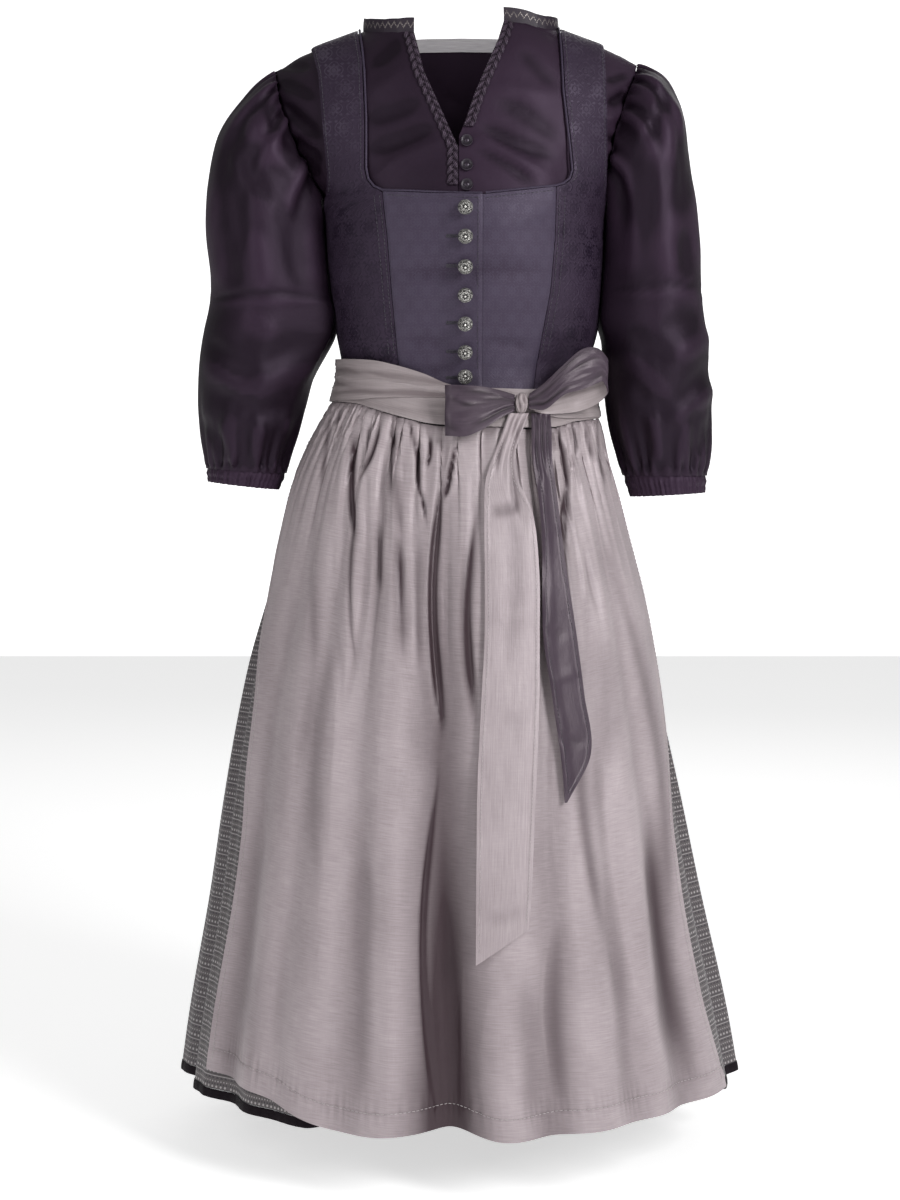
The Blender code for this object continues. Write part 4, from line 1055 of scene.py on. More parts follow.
def sleeve_base(side, sections, angle, row):
    a = np.radians(angle)
    outer = point_of(sections.at("outer_x", row), 0, sections.at("outer_z", row))
    inner = point_of(sections.at("inner_x", row), 0, sections.at("inner_z", row))
    c, s = np.cos(a)[..., None], np.sin(a)
    ring = (outer + inner) / 2 + (outer - inner) / 2 * c
    ring[..., 1] = -sections.at("depth", row) * s
    seam_share = (1 - ease(row / 1.6))[..., None]
    level = mix(ARMPIT, RIDGE, 0.5 + 0.5 * np.cos(a))
    sign = SIGN[side]
    turn = sign * np.where(level > ARMPIT, abs(turn_at(sign * ARMHOLE.at(side, level), level)), 90)
    seam = body(np.where(s >= 0, turn, 180 - turn), level) + (sign * SLEEVE_GAP, 0, 0)
    return mix(ring, seam, seam_share)


# Creases of the sleeves' fronts as x0, z0, x1, z1, width, height. The backs take them too, a little aside.
SLEEVE_FOLDS_LEFT = [
    (-268, -277, -150, -275, 2.2, -1.5), (-266, -281, -152, -279, 2.5, 1.0),
    (-238, -96, -196, -178, 7, -3.2), (-222, -84, -176, -150, 6, 2.6), (-252, -118, -226, -232, 8, -3),
    (-206, -70, -166, -124, 5, -2.4), (-262, -160, -250, -262, 8, 2.2), (-186, -178, -168, -262, 7, -2.6),
    (-216, -206, -204, -268, 8, 2.4), (-240, -210, -232, -266, 6, -2), (-160, -200, -158, -262, 5, 1.8),
    (-268, -318, -214, -352, 7, -3.2), (-270, -342, -206, -378, 8, 3), (-262, -372, -198, -396, 7, -3.2),
    (-160, -318, -206, -348, 7, -2.8), (-164, -346, -214, -372, 7, 2.6), (-170, -388, -224, -402, 6, -2.8),
    (-276, -398, -240, -440, 6, -2.8), (-250, -404, -236, -450, 5, 2.6), (-226, -404, -222, -452, 5, -2.6),
    (-204, -404, -210, -450, 5, 2.4), (-186, -410, -198, -450, 5, -2.4), (-230, -292, -188, -316, 8, 2),
]
SLEEVE_FOLDS_RIGHT = [
    (256, -277, 152, -278, 2.2, -1.5), (256, -281, 152, -282, 2.5, 1.0),
    (206, -62, 178, -128, 6, -2.8), (222, -76, 196, -160, 7, 2.6), (234, -104, 214, -206, 8, -3),
    (246, -150, 238, -256, 8, 2.4), (190, -140, 176, -238, 7, -2.8), (212, -196, 204, -264, 8, 2.2),
    (170, -206, 166, -264, 6, 1.8), (226, -214, 224, -266, 6, -2.2), (166, -318, 208, -356, 7, -3),
    (262, -318, 212, -348, 7, 2.8), (160, -346, 206, -394, 7, 2.8), (264, -352, 214, -400, 8, -3.6),
    (266, -376, 216, -412, 6, 3), (168, -382, 210, -410, 6, -3.2), (250, -412, 238, -450, 5, -2.6),
    (232, -410, 226, -456, 5, 2.6), (212, -414, 212, -456, 5, -2.6), (192, -414, 200, -456, 5, 2.4),
    (176, -410, 186, -452, 5, -2.4), (240, -300, 196, -322, 8, -2),
]


def sleeve_grid(side, sections, rows, columns):
    angle = spread(0, -360 * SIGN[side], columns + 1)[None, :]
    row = np.asarray(rows, float)[:, None]
    angle, row = np.broadcast_arrays(angle, row)
    points = sleeve_base(side, sections, angle, row)
    return points, np.radians(angle), row


def sleeve_height(side, points, a, row):
    """Gathers at the head and the cuff, the ironed crease and the soft folds between."""
    luck = 0.6 * np.sin(5 * a + 1.1) + 0.4 * np.sin(9 * a)
    head = 2.1 * np.sin(22 * a + 1.5 * luck) * bump(row / 0.9) * ease(row / 0.5)
    head = head + 1.9 * np.sin(13 * a + luck + 0.4) * bump((row - 1.5) / 1.3) * ease(row / 0.6)
    near = ease((row - CUFF_ROW + 0.5) / 0.5)
    low = mix(2.3, 0.7, near) * np.sin(24 * a + 1.2 * luck) * bump((row - CUFF_ROW) / 0.75)
    low = low + 2.0 * np.sin(11 * a - luck) * bump((row - CUFF_ROW + 1.1) / 0.9) * (1 - near)
    swell = -1.3 * ease(row / 0.6) * bump((row - 6) / 9)
    x, z = points[..., 0], points[..., 2]
    folds = SLEEVE_FOLDS_LEFT if side == "left" else SLEEVE_FOLDS_RIGHT
    front = crease(x, z, folds)
    behind = [(x0, z0, x1, z1, width, high * 0.9) for x0, z0, x1, z1, width, high in folds]
    back = crease(x - 9 * SIGN[side], z - 11, behind)
    share = ease(0.5 - 1.2 * np.sin(a) * SIGN[side])
    middle = ease(row / 1.2) * ease((CUFF_ROW + 0.2 - row) / 1.0)
    soft = 0.8 * grain(points, 16, 2.0 if side == "left" else 7.0)
    return head + low + swell + 1.3 * near + (mix(back, front, share) + soft) * middle


def beside_body(side, points, a, row):
    """The sleeve's inner side swells against the blouse and the bodice, and stays clear of them."""
    sign = SIGN[side]
    x, y, z = (points[..., i] for i in range(3))
    last, swell = (7.8, 13.5 + 9 * ease((row - 5.2) / 2)) if side == "left" else (6.6, 10.0)
    near = ease((row - 0.15) / 0.8) * (1 - ease((row - last) / 1.5)) * ease(-np.cos(a) * 1.6)
    reach = x * sign - swell * near * bump((abs(y) - 34) / 13)
    level = np.minimum(z, ARMPIT)
    square = FORM.at("square", level)
    depth = np.where(y < 0, FORM.at("front", level), FORM.at("back", level))
    c = clamp(abs(y) / depth) ** (1 / square)
    ring = half_width(sign > 0, z) * np.sqrt(1 - c * c) ** square
    ring = ring + mix(1.3, 5.6, ease((ARMPIT - z) / 8))
    reach = np.where((row > 0.6) & (np.cos(a) < 0) & (row < 9), np.maximum(reach, ring), reach)
    return point_of(reach * sign, y, z)


def make_sleeve(side, sections):
    rows = np.concatenate([spread(0, 2, 22), spread(2.12, 11, 68), spread(11.07, CUFF_ROW + 0.06, 16)])
    points, a, row = sleeve_grid(side, sections, rows, 164)
    height = sleeve_height(side, points, a, row)
    shade = 0.9 * clamp(-height / 2.0) + 0.55 * ease((row - 6.5) / 2.5)
    points = beside_body(side, raised(points, height, closed=True), a, row)
    uv = np.stack([abs(a) / math.tau * 0.42, -row * 0.037], axis=-1)
    piece = shell(f"cloth_sleeve_{side}", points, FINE_SHELL, SATIN, uv=uv, closed=True, shade=shade)
    wear(piece, f"sleeve_{side}")


def make_cuff(side, sections):
    """A narrow cuff drawn in by two channels of elastic."""
    points, a, row = sleeve_grid(side, sections, spread(CUFF_ROW, SLEEVE_END, 13), 184)
    down = (row - CUFF_ROW) / (SLEEVE_END - CUFF_ROW)
    ribs = 0.75 * np.sin(46 * a + 0.8 * np.sin(7 * a)) + 0.5 * np.sin(25 * a)
    channels = -0.7 * bump((down - 0.2) / 0.06) - 0.7 * bump((down - 0.62) / 0.06)
    under = bump(down / 0.09)
    height = (0.2 + ribs * (1 - 0.5 * bump((down - 0.2) / 0.05)) + channels) * (1 - under) - 1.9 * under
    points = raised(points, height, closed=True)
    uv = np.stack([abs(a) / math.tau * 0.3, -down * 0.02], axis=-1)
    piece = shell(f"cloth_cuff_{side}", points, FINE_SHELL, SATIN, uv=uv, closed=True)
    wear(piece, f"cuff_{side}")


def edge_roll(points, size, depth):
    """How far a panel's own edges turn in at its seams, left and right."""
    from_left = row_lengths(points)
    from_right = from_left[:, -1:] - from_left
    return -depth * (np.exp(-((from_left / size) ** 2)) + np.exp(-((from_right / size) ** 2)))


BODICE_FOLDS = [
    (-128, -196, -84, -206, 5, -0.8), (-132, -262, -76, -252, 7, -0.9), (-126, -300, -70, -318, 6, 0.8),
    (-120, -330, -66, -342, 5, -0.8), (134, -206, 98, -214, 5, -0.8), (140, -258, 96, -250, 7, -0.9),
    (136, -302, 92, -316, 6, 0.8), (128, -334, 80, -346, 5, -0.8), (-60, -186, 10, -192, 5, 0.7),
    (-66, -254, 84, -250, 7, -1.3), (-60, -276, 88, -282, 6, 0.7), (-58, -318, -8, -330, 5, -0.8),
    (24, -322, 74, -330, 5, -0.8), (-40, -352, -6, -348, 4, -0.9), (28, -214, 84, -196, 6, 0.7),
]
BODICE_BACK_FOLDS = scattered(18, 11, (-120, 60), (-365, -120), (30, 90), (-20, 20), (4, 7), (0.5, 1.1))


def bodice_panel(name, turn, level, out, finish, folds):
    points = outside(body, turn, level, out)
    x, z = points[..., 0], points[..., 2]
    creases = crease(x, z, folds)
    points = raised(points, creases * 1.5 + edge_roll(points, 1.6, 0.7))
    uv = np.stack([(row_lengths(points) + points[:, :1, 0]) * MM, z * MM], axis=-1)
    shade = 0.6 * clamp(-creases / 1.2)
    piece = shell(f"cloth_{name}", points, BODICE_CLOTH - 0.4, finish, uv=uv, shade=shade)
    wear(piece, name)


def bodice_levels(*stops):
    parts = [spread(a, b, max(int(abs(a - b) / 2.7), 4)) for a, b in zip(stops, stops[1:])]
    return np.unique(np.concatenate(parts))[::-1][:, None]


def armhole_edge(edges, levels, foot, sign):
    """Turn of a bodice panel's outer edge: up the armhole, and from its foot round to the side seam."""
    top = turn_at(edges.at("outer", np.maximum(levels, foot)), np.maximum(levels, foot))
    return mix(sign * 90.0, top, ease((levels - SIDE_SEAM_TOP + 5) / (foot - SIDE_SEAM_TOP + 5)))


def make_side_front(side):
    edges = SIDE_FRONT_LEFT if side == "left" else SIDE_FRONT_RIGHT
    levels = bodice_levels(RIDGE, -145, -180, WAIST)
    sign = SIGN[side]
    inner = turn_at(edges.at("inner", levels) + sign * 0.3, levels)
    outer = armhole_edge(edges, levels, -172.5 if side == "left" else -167, sign)
    turn = mix(inner, outer, spread(0, 1, 34)[None, :])
    if side == "left":
        turn = turn[:, ::-1]
    level = levels + 0 * turn
    bodice_panel(f"bodice_side_front_{side}", turn, level, BODICE_OUT, JACQUARD, BODICE_FOLDS)


def lapped(turn, level):
    return BODICE_OUT + LAP_OUT * ease((body(turn, level)[..., 0] + 27) / 18)


def front_places(side, share, down):
    """Turn and level of places on a front panel: share runs towards the lap, down from the neckline."""
    level = -175.0 + 0 * (share + down)
    for _ in range(4):
        if side == "left":
            x = mix(SIDE_FRONT_LEFT.at("inner", level) + 0.3, LAP_X, share)
        else:
            x = mix(-5, SIDE_FRONT_RIGHT.at("inner", level) - 0.3, share)
        level = mix(NECKLINE.at("level", x), WAIST, down)
    return turn_at(x, level), level


def make_front(side):
    turn, level = front_places(side, spread(0, 1, 44)[None, :], spread(0, 1, 76)[:, None])
    out = lapped(turn, level) if side == "left" else BODICE_OUT
    bodice_panel(f"bodice_front_{side}", turn, level, out, CENTRE, BODICE_FOLDS)


def make_side_back(side):
    levels = bodice_levels(RIDGE, -60, -80, -180, WAIST)
    inner = 180 - turn_at(SIDE_BACK.at("inner", levels) + 0.3, levels)
    outer = 180.01 - armhole_edge(SIDE_BACK, levels, -184, 1)
    turn = mix(inner, outer, spread(0, 1, 34)[None, :])
    turn = turn[:, ::-1] if side == "right" else -turn
    name = f"bodice_side_back_{side}"
    bodice_panel(name, turn, levels + 0 * turn, BODICE_OUT, JACQUARD, BODICE_BACK_FOLDS)


def make_back():
    levels = bodice_levels(-76.5, WAIST)
    edge = 180 - turn_at(SIDE_BACK.at("inner", levels) - 0.3, levels)
    turn = mix(edge, 360 - edge, spread(0, 1, 50)[None, :])
    bodice_panel("bodice_back", turn, levels + 0 * turn, BODICE_OUT, JACQUARD, BODICE_BACK_FOLDS)


def resampled(route, step):
    """A line of points set out again at an even step, with the lengths along it."""
    lengths = lengths_along(route)
    along = spread(0, lengths[-1], max(int(lengths[-1] / step), 2))
    return places_at(along, lengths, route), along


def cord_mesh(route, radius, sides, out=None):
    """Points and faces of a round cord. radius may change along it."""
    count = len(route)
    along = unit(np.gradient(route, axis=0))
    if out is None:
        out = unit(route * (1, 1, 0))
    across = unit(np.cross(along, out))
    out = np.cross(across, along)
    angle = np.arange(sides) * math.tau / sides
    radius = np.broadcast_to(radius, (count,))[:, None, None]
    ring = out[:, None] * np.cos(angle)[None, :, None] + across[:, None] * np.sin(angle)[None, :, None]
    points = (route[:, None] + ring * radius).reshape(-1, 3)
    number = np.arange(count * sides).reshape(count, sides)
    after = np.roll(number, -1, axis=1)
    faces = np.stack([number[:-1], after[:-1], after[1:], number[1:]], axis=-1).reshape(-1, 4)[:, ::-1].tolist()
    return points, faces + [number[0].tolist(), number[-1][::-1].tolist()]


def merged(parts):
    """One list of points and one of faces, from those of many parts."""
    points, faces, start = [], [], 0
    for made, sides in parts:
        points.append(made)
        faces += [[start + i for i in face] for face in sides]
        start += len(made)
    return np.concatenate(points), faces


def add_sewing(name, parts, finish):
    piece = save_mesh(name, *merged(parts), [finish])
    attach(piece, "root")


def stitches(name, runs, finish, length=3.0, gap=1.3, radius=0.34):
    """Sewing: each run is a line of points that its stitches follow, just proud of the cloth."""
    places = np.array((0, 0.12, 0.5, 0.88, 1))
    rise = np.array((-0.25, 0.02, 0.12, 0.02, -0.25))[:, None]
    thickness = radius * np.array((0.5, 0.95, 1, 0.95, 0.5))
    parts = []
    for route in runs:
        line, along = resampled(np.asarray(route), 0.5)
        at = 0.0
        while at + length < along[-1]:
            stitch = places_at(at + places * length, along, line)
            away = unit(stitch * (1, 1, 0))
            parts.append(cord_mesh(stitch + away * rise, thickness, 5, away))
            at += length + gap
    add_sewing(name, parts, finish)


def piping(name, places, behind=False):
    """Piping beside an edge given as (x, level) places: a round cord in a twisted bias strip."""
    route = []
    for i, (x, level) in enumerate(places):
        before, after = places[max(i - 1, 0)], places[min(i + 1, len(places) - 1)]
        dx, dz = after[0] - before[0], after[1] - before[1]
        size = math.hypot(dx, dz)
        x, level = x - dz / size * PIPING_SIDE, level + dx / size * PIPING_SIDE
        turn = turn_at(x, level)
        route.append(outside(body, 180 - turn if behind else turn, min(level, RIDGE - 0.4), PIPING_OUT))
    line, along = resampled(np.array(route), 1.1)
    radius = PIPING_RADIUS * (1 + 0.09 * np.sin(along * math.tau / 3.6))
    points, faces = cord_mesh(line, radius, 10)
    uv = np.stack(np.broadcast_arrays(along[:, None], np.arange(10)[None] * 0.8), axis=-1).reshape(-1, 2) * MM
    piece = save_mesh(f"cord_{name}", points, faces, [CENTRE], uvs=uv, shade=np.zeros(len(points)))
    hard(piece, name)


def make_piping():
    levels = (32.5, 20, 0, -30, -87, -125, -145, -158, -167, -172.5)
    left = [(float(SIDE_FRONT_LEFT.at("inner", k)), k) for k in levels]
    left += [(x, float(NECKLINE.at("level", x))) for x in (-60, -30, 0, LAP_X)]
    right = [(x, float(NECKLINE.at("level", x))) for x in (LAP_X + 3.6, 45, 70, 94.5)]
    levels = (-163, -156, -145, -117, -85, -52, -20, 0, 20, 32.5)
    right += [(float(SIDE_FRONT_RIGHT.at("inner", k)), k) for k in levels]
    piping("piping_left", left)
    piping("piping_right", right)
    half = [(float(SIDE_BACK.at("inner", k)), k) for k in (32.5, 20, 0, -30, -60, -71, -76)]
    half += [(40, -76.5), (0, -76.5)]
    piping("piping_back", [(-x, level) for x, level in half] + list(reversed(half[:-1])), behind=True)


def on_body(places, out):
    """Points of the front, given as (x, level), out millimetres over the body."""
    x, level = np.array(places, float).T
    turn = turn_at(x, level)
    return outside(body, turn, level, lapped(turn, level) - BODICE_OUT + out)


def make_bodice_sewing():
    out = BODICE_OUT + SEWING_OUT
    runs = []
    seam, armhole, strap = spread(-176, -334, 60), spread(28, -164, 70), spread(28, -158, 70)
    for edges, sign in ((SIDE_FRONT_LEFT, -1), (SIDE_FRONT_RIGHT, 1)):
        for levels, edge, away in (
            (seam, "inner", 2.6), (seam, "inner", 8.2), (armhole, "outer", -3.2), (strap, "inner", 3.4),
        ):
            x = edges.at(edge, levels) + sign * away
            runs.append(outside(body, turn_at(x, levels), levels, out))
    levels = spread(-180, -352, 60)
    runs.append(outside(body, turn_at(LAP_X - 4.5, levels), levels, out + LAP_OUT))
    for low, high in ((-74, LAP_X - 2), (LAP_X + 4, 92)):
        x = spread(low, high, 40)
        level = NECKLINE.at("level", x) - 3.6
        turn = turn_at(x, level)
        runs.append(outside(body, turn, level, (lapped(turn, level) if low < 0 else BODICE_OUT) + SEWING_OUT))
    for sign in (-1, 1):
        levels = spread(-84, -326, 80)
        turn = 180 - turn_at(SIDE_BACK.at("inner", levels) + 3.0, levels)
        runs.append(outside(body, sign * turn, levels, out))
    stitches("bodice_topstitching", runs, SEWING)


def make_buttonholes():
    """A worked hole beside each ball button: a close row of bars round a slit."""
    left, right, half = -15, -5, 1.1
    middle, reach = (left + right) / 2, (right - left) / 2
    parts = []
    for level in BALL_LEVELS:
        for around in spread(0, math.tau, 76)[:-1]:
            x = middle + np.clip(np.cos(around) * 1.25, -1, 1) * reach
            z = level + np.clip(np.sin(around) * 1.6, -1, 1) * half
            away = np.array((x - np.clip(x, left + half, right - half), z - level))
            away = away / max(np.linalg.norm(away), 1e-6)
            inner, outer = (x, z) - away * 0.9, (x, z) + away * 0.5
            line = on_body([inner, (inner + outer) / 2, outer], BODICE_OUT + 0.35)
            parts.append(cord_mesh(line, np.array((0.22, 0.34, 0.22)), 4))
    add_sewing("bodice_buttonholes", parts, SEWING)


def band_grid(top, bottom, turns, out, rows):
    turn = turns[None, :]
    level = mix(top.at("level", turn), bottom.at("level", turn), spread(0, 1, rows)[:, None])
    turn = turn + 0 * level
    return outside(body, turn, level, out), turn, level


# Wrinkles of the sash and the waistband in degrees of turn and levels, drawn towards the knot
SASH_FOLDS = [
    (-92, -345, 14, -376, 2.6, -1.6), (-90, -352, 20, -381, 2.2, 1.3), (-84, -360, 4, -379, 2.4, -1.5),
    (-60, -346, 10, -374, 2.2, 1.1), (-92, -369, -14, -378, 2.4, 1.2), (-80, -375, 6, -383, 2.0, -1.3),
    (-46, -352, 22, -380, 1.8, -1.2), (-28, -364, 24, -386, 1.8, 1.1), (-34, -372, 16, -384, 1.6, -1.1),
    (92, -343, 32, -377, 2.8, -1.6), (90, -352, 30, -382, 2.2, 1.3), (90, -366, 30, -386, 2.6, -1.6),
    (86, -378, 30, -389, 2.2, 1.3), (88, -390, 31, -393, 2.2, -1.3), (60, -352, 32, -379, 2.0, 1.0),
    (70, -384, 34, -391, 1.8, -1.1), (56, -368, 30, -384, 1.8, -1.0),
]
WAISTBAND_FOLDS = [
    (-88, -372, -30, -388, 2.2, -0.9), (-60, -378, 10, -398, 2.0, -0.9), (-20, -392, 20, -402, 1.8, 0.7),
    (30, -404, 80, -394, 2.0, -0.9), (34, -398, 88, -384, 2.2, 0.7), (-80, -382, -44, -386, 1.8, 0.7),
]


def make_waistband():
    top = Table("turn level", *[(t, float(APRON_SEAM.at("level", t)) + 41) for t in range(-90, 91, 15)])
    points, turn, level = band_grid(top, APRON_SEAM, spread(-89.7, 89.7, 190), BAND_OUT, 26)
    below = level - APRON_SEAM.at("level", turn)
    pulls = 0.35 * np.sin(turn * 2.6 + 0.8 * np.sin(turn / 3)) * bump(below / 4)
    roll = -0.8 * np.exp(-((below / 1.5) ** 2))
    height = crease(turn, level, WAISTBAND_FOLDS) + pulls + roll
    piece = shell("cloth_waistband", raised(points, height), 1.1, SASH)
    wear(piece, "waistband")


def sash_out(turn):
    return mix(SASH_OUT, BACK_SASH_OUT, ease((abs(signed(turn)) - 90) / 25))


SASH_TOP = {
    "left": Table("turn level", (-90, -335), (-43, -338.8), (-27, -345.9), (-15, -355), (-3, -368), (23, -376)),
    "right": Table("turn level", (29, -375), (40, -360), (60, -343), (90, -330)),
    "back": Table("turn level", (90, -330), (180, -333), (270, -335)),
}
SASH_LOW = {
    "left": Table("turn level", (-90, -385.4), (-50, -384), (-37, -382), (-9, -381.5), (10, -386), (23, -394)),
    "right": Table("turn level", (29, -396), (40, -403), (60, -402.5), (90, -399.4)),
    "back": Table("turn level", (90, -399.4), (110, -391), (250, -385), (270, -385.4)),
}
SASH_BACK_FOLDS = scattered(13, 21, (88, 230), (-390, -338), (40, 110), (-6, 6), (1.8, 2.8), (0.8, 1.5))


def make_sash():
    for side, turns in (
        ("left", spread(-89.8, 19, 130)), ("right", spread(30, 89.8, 84)), ("back", spread(90.2, 269.8, 140)),
    ):
        points, turn, level = band_grid(SASH_TOP[side], SASH_LOW[side], turns, sash_out(turns), 30)
        folds = crease(turn, level, SASH_BACK_FOLDS if side == "back" else SASH_FOLDS)
        low, top = SASH_LOW[side].at("level", turn), SASH_TOP[side].at("level", turn)
        share = (level - low) / (top - low)
        edge = -0.9 * (bump(share / 0.05) + bump((1 - share) / 0.05))
        fine = 0.35 * np.sin(level * 1.1 + turn * 0.16 + 1.5 * np.sin(turn * 0.13))
        fine = fine * np.sin(turn * 0.21 + level * 0.05) * ease(share * 6) * ease((1 - share) * 6)
        height = np.clip(folds * 1.25 + edge + fine, -1.5, 2.6)
        deep = clamp(-folds / 2.0)
        piece = shell(f"cloth_sash_{side}", raised(points, height), FINE_SHELL, SASH, shade=deep * 0.6)
        wear(piece, f"sash_{side}")


KNOT = np.array((61.0, 0, -385.0))
KNOT_HALF = np.array((7.1, 7, 10.8))


def make_knot():
    """A plump knot, its cloth drawn in from above and below in uneven folds."""
    turn, x = turn_at(KNOT[0], KNOT[2]), KNOT[0]
    sash = outside(body, turn, KNOT[2], SASH_OUT)
    base = np.array((x, sash[1] - KNOT_HALF[1] - 0.6, KNOT[2]))
    polar = spread(0.06, math.pi - 0.06, 30)[:, None]
    a = spread(0, math.tau, 45)[None, :]
    around = point_of(
        np.sign(np.cos(a)) * abs(np.cos(a)) ** 0.8 * np.sin(polar) ** 0.7,
        np.sign(np.sin(a)) * abs(np.sin(a)) ** 0.8 * np.sin(polar) ** 0.7, np.cos(polar),
    )
    points = base + around * (KNOT_HALF - (0.8, 0.8, 0.8))
    folds = 0.8 * np.sin(7 * a + 1.4 * np.sin(polar * 2)) * np.sin(polar) ** 0.5
    folds = folds + 0.4 * np.sin(4 * a + 3 * polar)
    points = points + unit(points - base) * folds[..., None]
    piece = shell("cloth_knot", points, 0.9, SASH, closed=True, shade=clamp(-folds * 0.7))
    wear(piece, "knot")


LOOPS = {
    "left": Table(
        "step x y top bottom",
        (0, 53.6, -105.5, -377, -393.5), (1, 40, -113, -373, -400), (2, 23, -121, -369.5, -411),
        (3, 5, -126, -368, -419), (4, -10, -126, -367.5, -419), (5, -16.5, -121.5, -367.5, -418.7),
        (6, -10, -117.5, -368, -418.5), (7, 8, -116.5, -369, -416), (8, 30, -111, -371, -404),
        (9, 53.6, -101.5, -377, -393),
    ),
    "right": Table(
        "step x y top bottom",
        (0, 68.6, -105, -376, -391), (1, 84, -108, -365, -393), (2, 102, -106, -348, -391.5),
        (3, 122, -99, -331, -387), (4, 139, -91, -329, -380), (5, 150, -83, -340, -374),
        (6, 142, -77, -337, -384), (7, 122, -79, -340, -393), (8, 100, -89.5, -356, -396),
        (9, 82, -97, -371, -396), (10, 68.6, -100, -377, -392),
    ),
}


# Crumples of the bow's ribbon, by step along it times 20 and place across it times 50
LOOP_FOLDS = [
    (20, 8, 90, 2, 3, 1.2), (12, -12, 70, -4, 3, -1.3), (110, 6, 170, 0, 3, 1.0), (6, 10, 54, 16, 1.6, -1.5),
    (8, 4, 74, 11, 1.8, 1.6), (10, 0, 62, 1, 1.5, -1.6), (14, -6, 70, -12, 1.7, 1.5),
    (8, -11, 60, -19, 1.6, -1.5), (44, 14, 84, 6, 2.2, 1.2), (50, -4, 92, -13, 2.2, -1.3),
    (62, 20, 90, 14, 2, -1.1), (40, 21, 78, 19, 1.8, 1.0), (58, 0, 96, 3, 2.4, 1.0),
    (70, -19, 98, -10, 2, 1.1), (120, 8, 188, 3, 2, -1.2), (130, -8, 186, -3, 2, 1.3),
    (110, 16, 160, 10, 2, 1.1),
]


def make_loop(side):
    """A loop of the bow: a ribbon that leaves the knot, turns round and comes back behind itself."""
    route = LOOPS[side]
    last = route.keys[-1]
    step = spread(0, last, 116)[None, :]
    share = spread(0, 1, 26)[:, None]
    low = route.at("bottom", step)
    if side == "right":  # its front layer's lower edge is drawn up
        low = low + 15.5 * ease((step - 0.8) / 1.6) * (1 - ease((step - 4.2) / 0.9))
    z = mix(route.at("top", step), low, share)
    middle = point_of(route.at("x", step), route.at("y", step), z)
    near = np.minimum(step, last - step) / 3.2
    fan = share - 0.5
    gathered = 1.5 * np.sin(fan * 17 + 0.7) * (1 - ease(near))
    gathered = gathered + 0.54 * np.sin(fan * 9 + step * 0.7) * ease(near)
    height = gathered * (1 - bump(share / 0.03) * 0.3) + crease(step * 20, fan * 50, LOOP_FOLDS)
    flat = middle * (1, 1, 0)
    along = unit(np.gradient(flat, axis=1))
    out = unit(np.cross(along, (0, 0, 1)))
    points = middle + out * (height[..., None] * 0.5 + SIGN[side] * 0.5)
    piece = shell(
        f"cloth_bow_loop_{side}", points, FINE_SHELL, RIBBON, shade=clamp(-height * 0.5),
        lining=SASH if side == "right" else RIBBON, turned=side == "left",
    )
    wear(piece, f"bow_loop_{side}")


def tail_out(level):
    return mix(TAIL_OUT, TAIL_TOP_OUT, ease((level + 450) / 38))


LIGHT_TAIL_FOLDS = [
    (26, -494, 58, -488, 4.5, -1.3), (22, -600, 70, -592, 6, 0.35), (24, -690, 66, -700, 7, -0.35),
    (14, -806, 66, -798, 7, 0.4), (20, -884, 62, -876, 5, -0.45), (52, -424, 58, -500, 3, -1.6),
    (60, -440, 68, -520, 3, 1.5), (42, -404, 36, -452, 2.5, -1.6), (50, -404, 48, -470, 2.5, 1.4),
    (58, -404, 60, -452, 2.5, -1.4), (47, -480, 44, -640, 7, -0.8), (32, -520, 30, -760, 8, 0.6),
]
DARK_TAIL_FOLDS = [
    (80, -430, 88, -560, 4, 1.8), (88, -560, 96, -700, 5, 2.0), (97, -690, 106, -778, 4, 1.6),
    (72, -420, 78, -470, 2.5, -1.4), (84, -410, 86, -460, 2.5, -1.2), (80, -520, 98, -512, 4, 0.7),
    (82, -610, 104, -618, 4, -0.8), (88, -664, 116, -654, 4, 0.8), (92, -716, 122, -724, 4, -0.8),
]


def make_tail(side, edges, slant, finish, folds, thread):
    """A hanging tail of the bow, its long edges turned under and stitched."""
    foot = edges.keys[0]
    level = spread(TAIL_TOP, foot, 180)[:, None]
    share = spread(0, 1, 32)[None, :]
    x = mix(edges.at("left", level), edges.at("right", level), share)
    rise = slant * share * ease((TAIL_TOP + 90 - level) / 90)
    drop = level + rise * bump((level - foot) / 34)
    points = outside(body, turn_at(x, drop), drop, tail_out(level))
    width = edges.at("right", level) - edges.at("left", level)
    from_edge = np.minimum(share, 1 - share) * width
    hem = 0.35 * ease((4.6 - from_edge) / 0.8)
    near_knot = 1.2 * np.sin(share * 22 + level / 60) * ease((level + 470) / 60) * ease((-400 - level) / 6)
    height = crease(points[..., 0], points[..., 2], folds) * ease((from_edge + 3) / 6) + hem + near_knot
    points = raised(points, height)
    uv = np.stack([level * MM + 0 * share, (share - 0.5) * width * MM], axis=-1)
    piece = shell(f"cloth_tail_{side}", points, FINE_SHELL, finish, uv=uv, shade=clamp(-height * 0.35))
    wear(piece, f"tail_{side}")
    inset = 3.6 / width[:, 0]
    out = normals_of(points, False)[9:-3, 16] * 0.35
    runs = []
    for spot in (inset, 1 - inset):
        line = np.stack([points[i][int(round(s * 31))] for i, s in enumerate(clamp(spot))])
        runs.append(line[9:-3] + out)
    stitches(f"tail_{side}_sewing", runs, thread, 2.4, 1.4, 0.26)


def apron_out(turn, level):
    return mix(APRON_TOP_OUT, APRON_OUT, ease((APRON_SEAM.at("level", turn) - level) / 40))


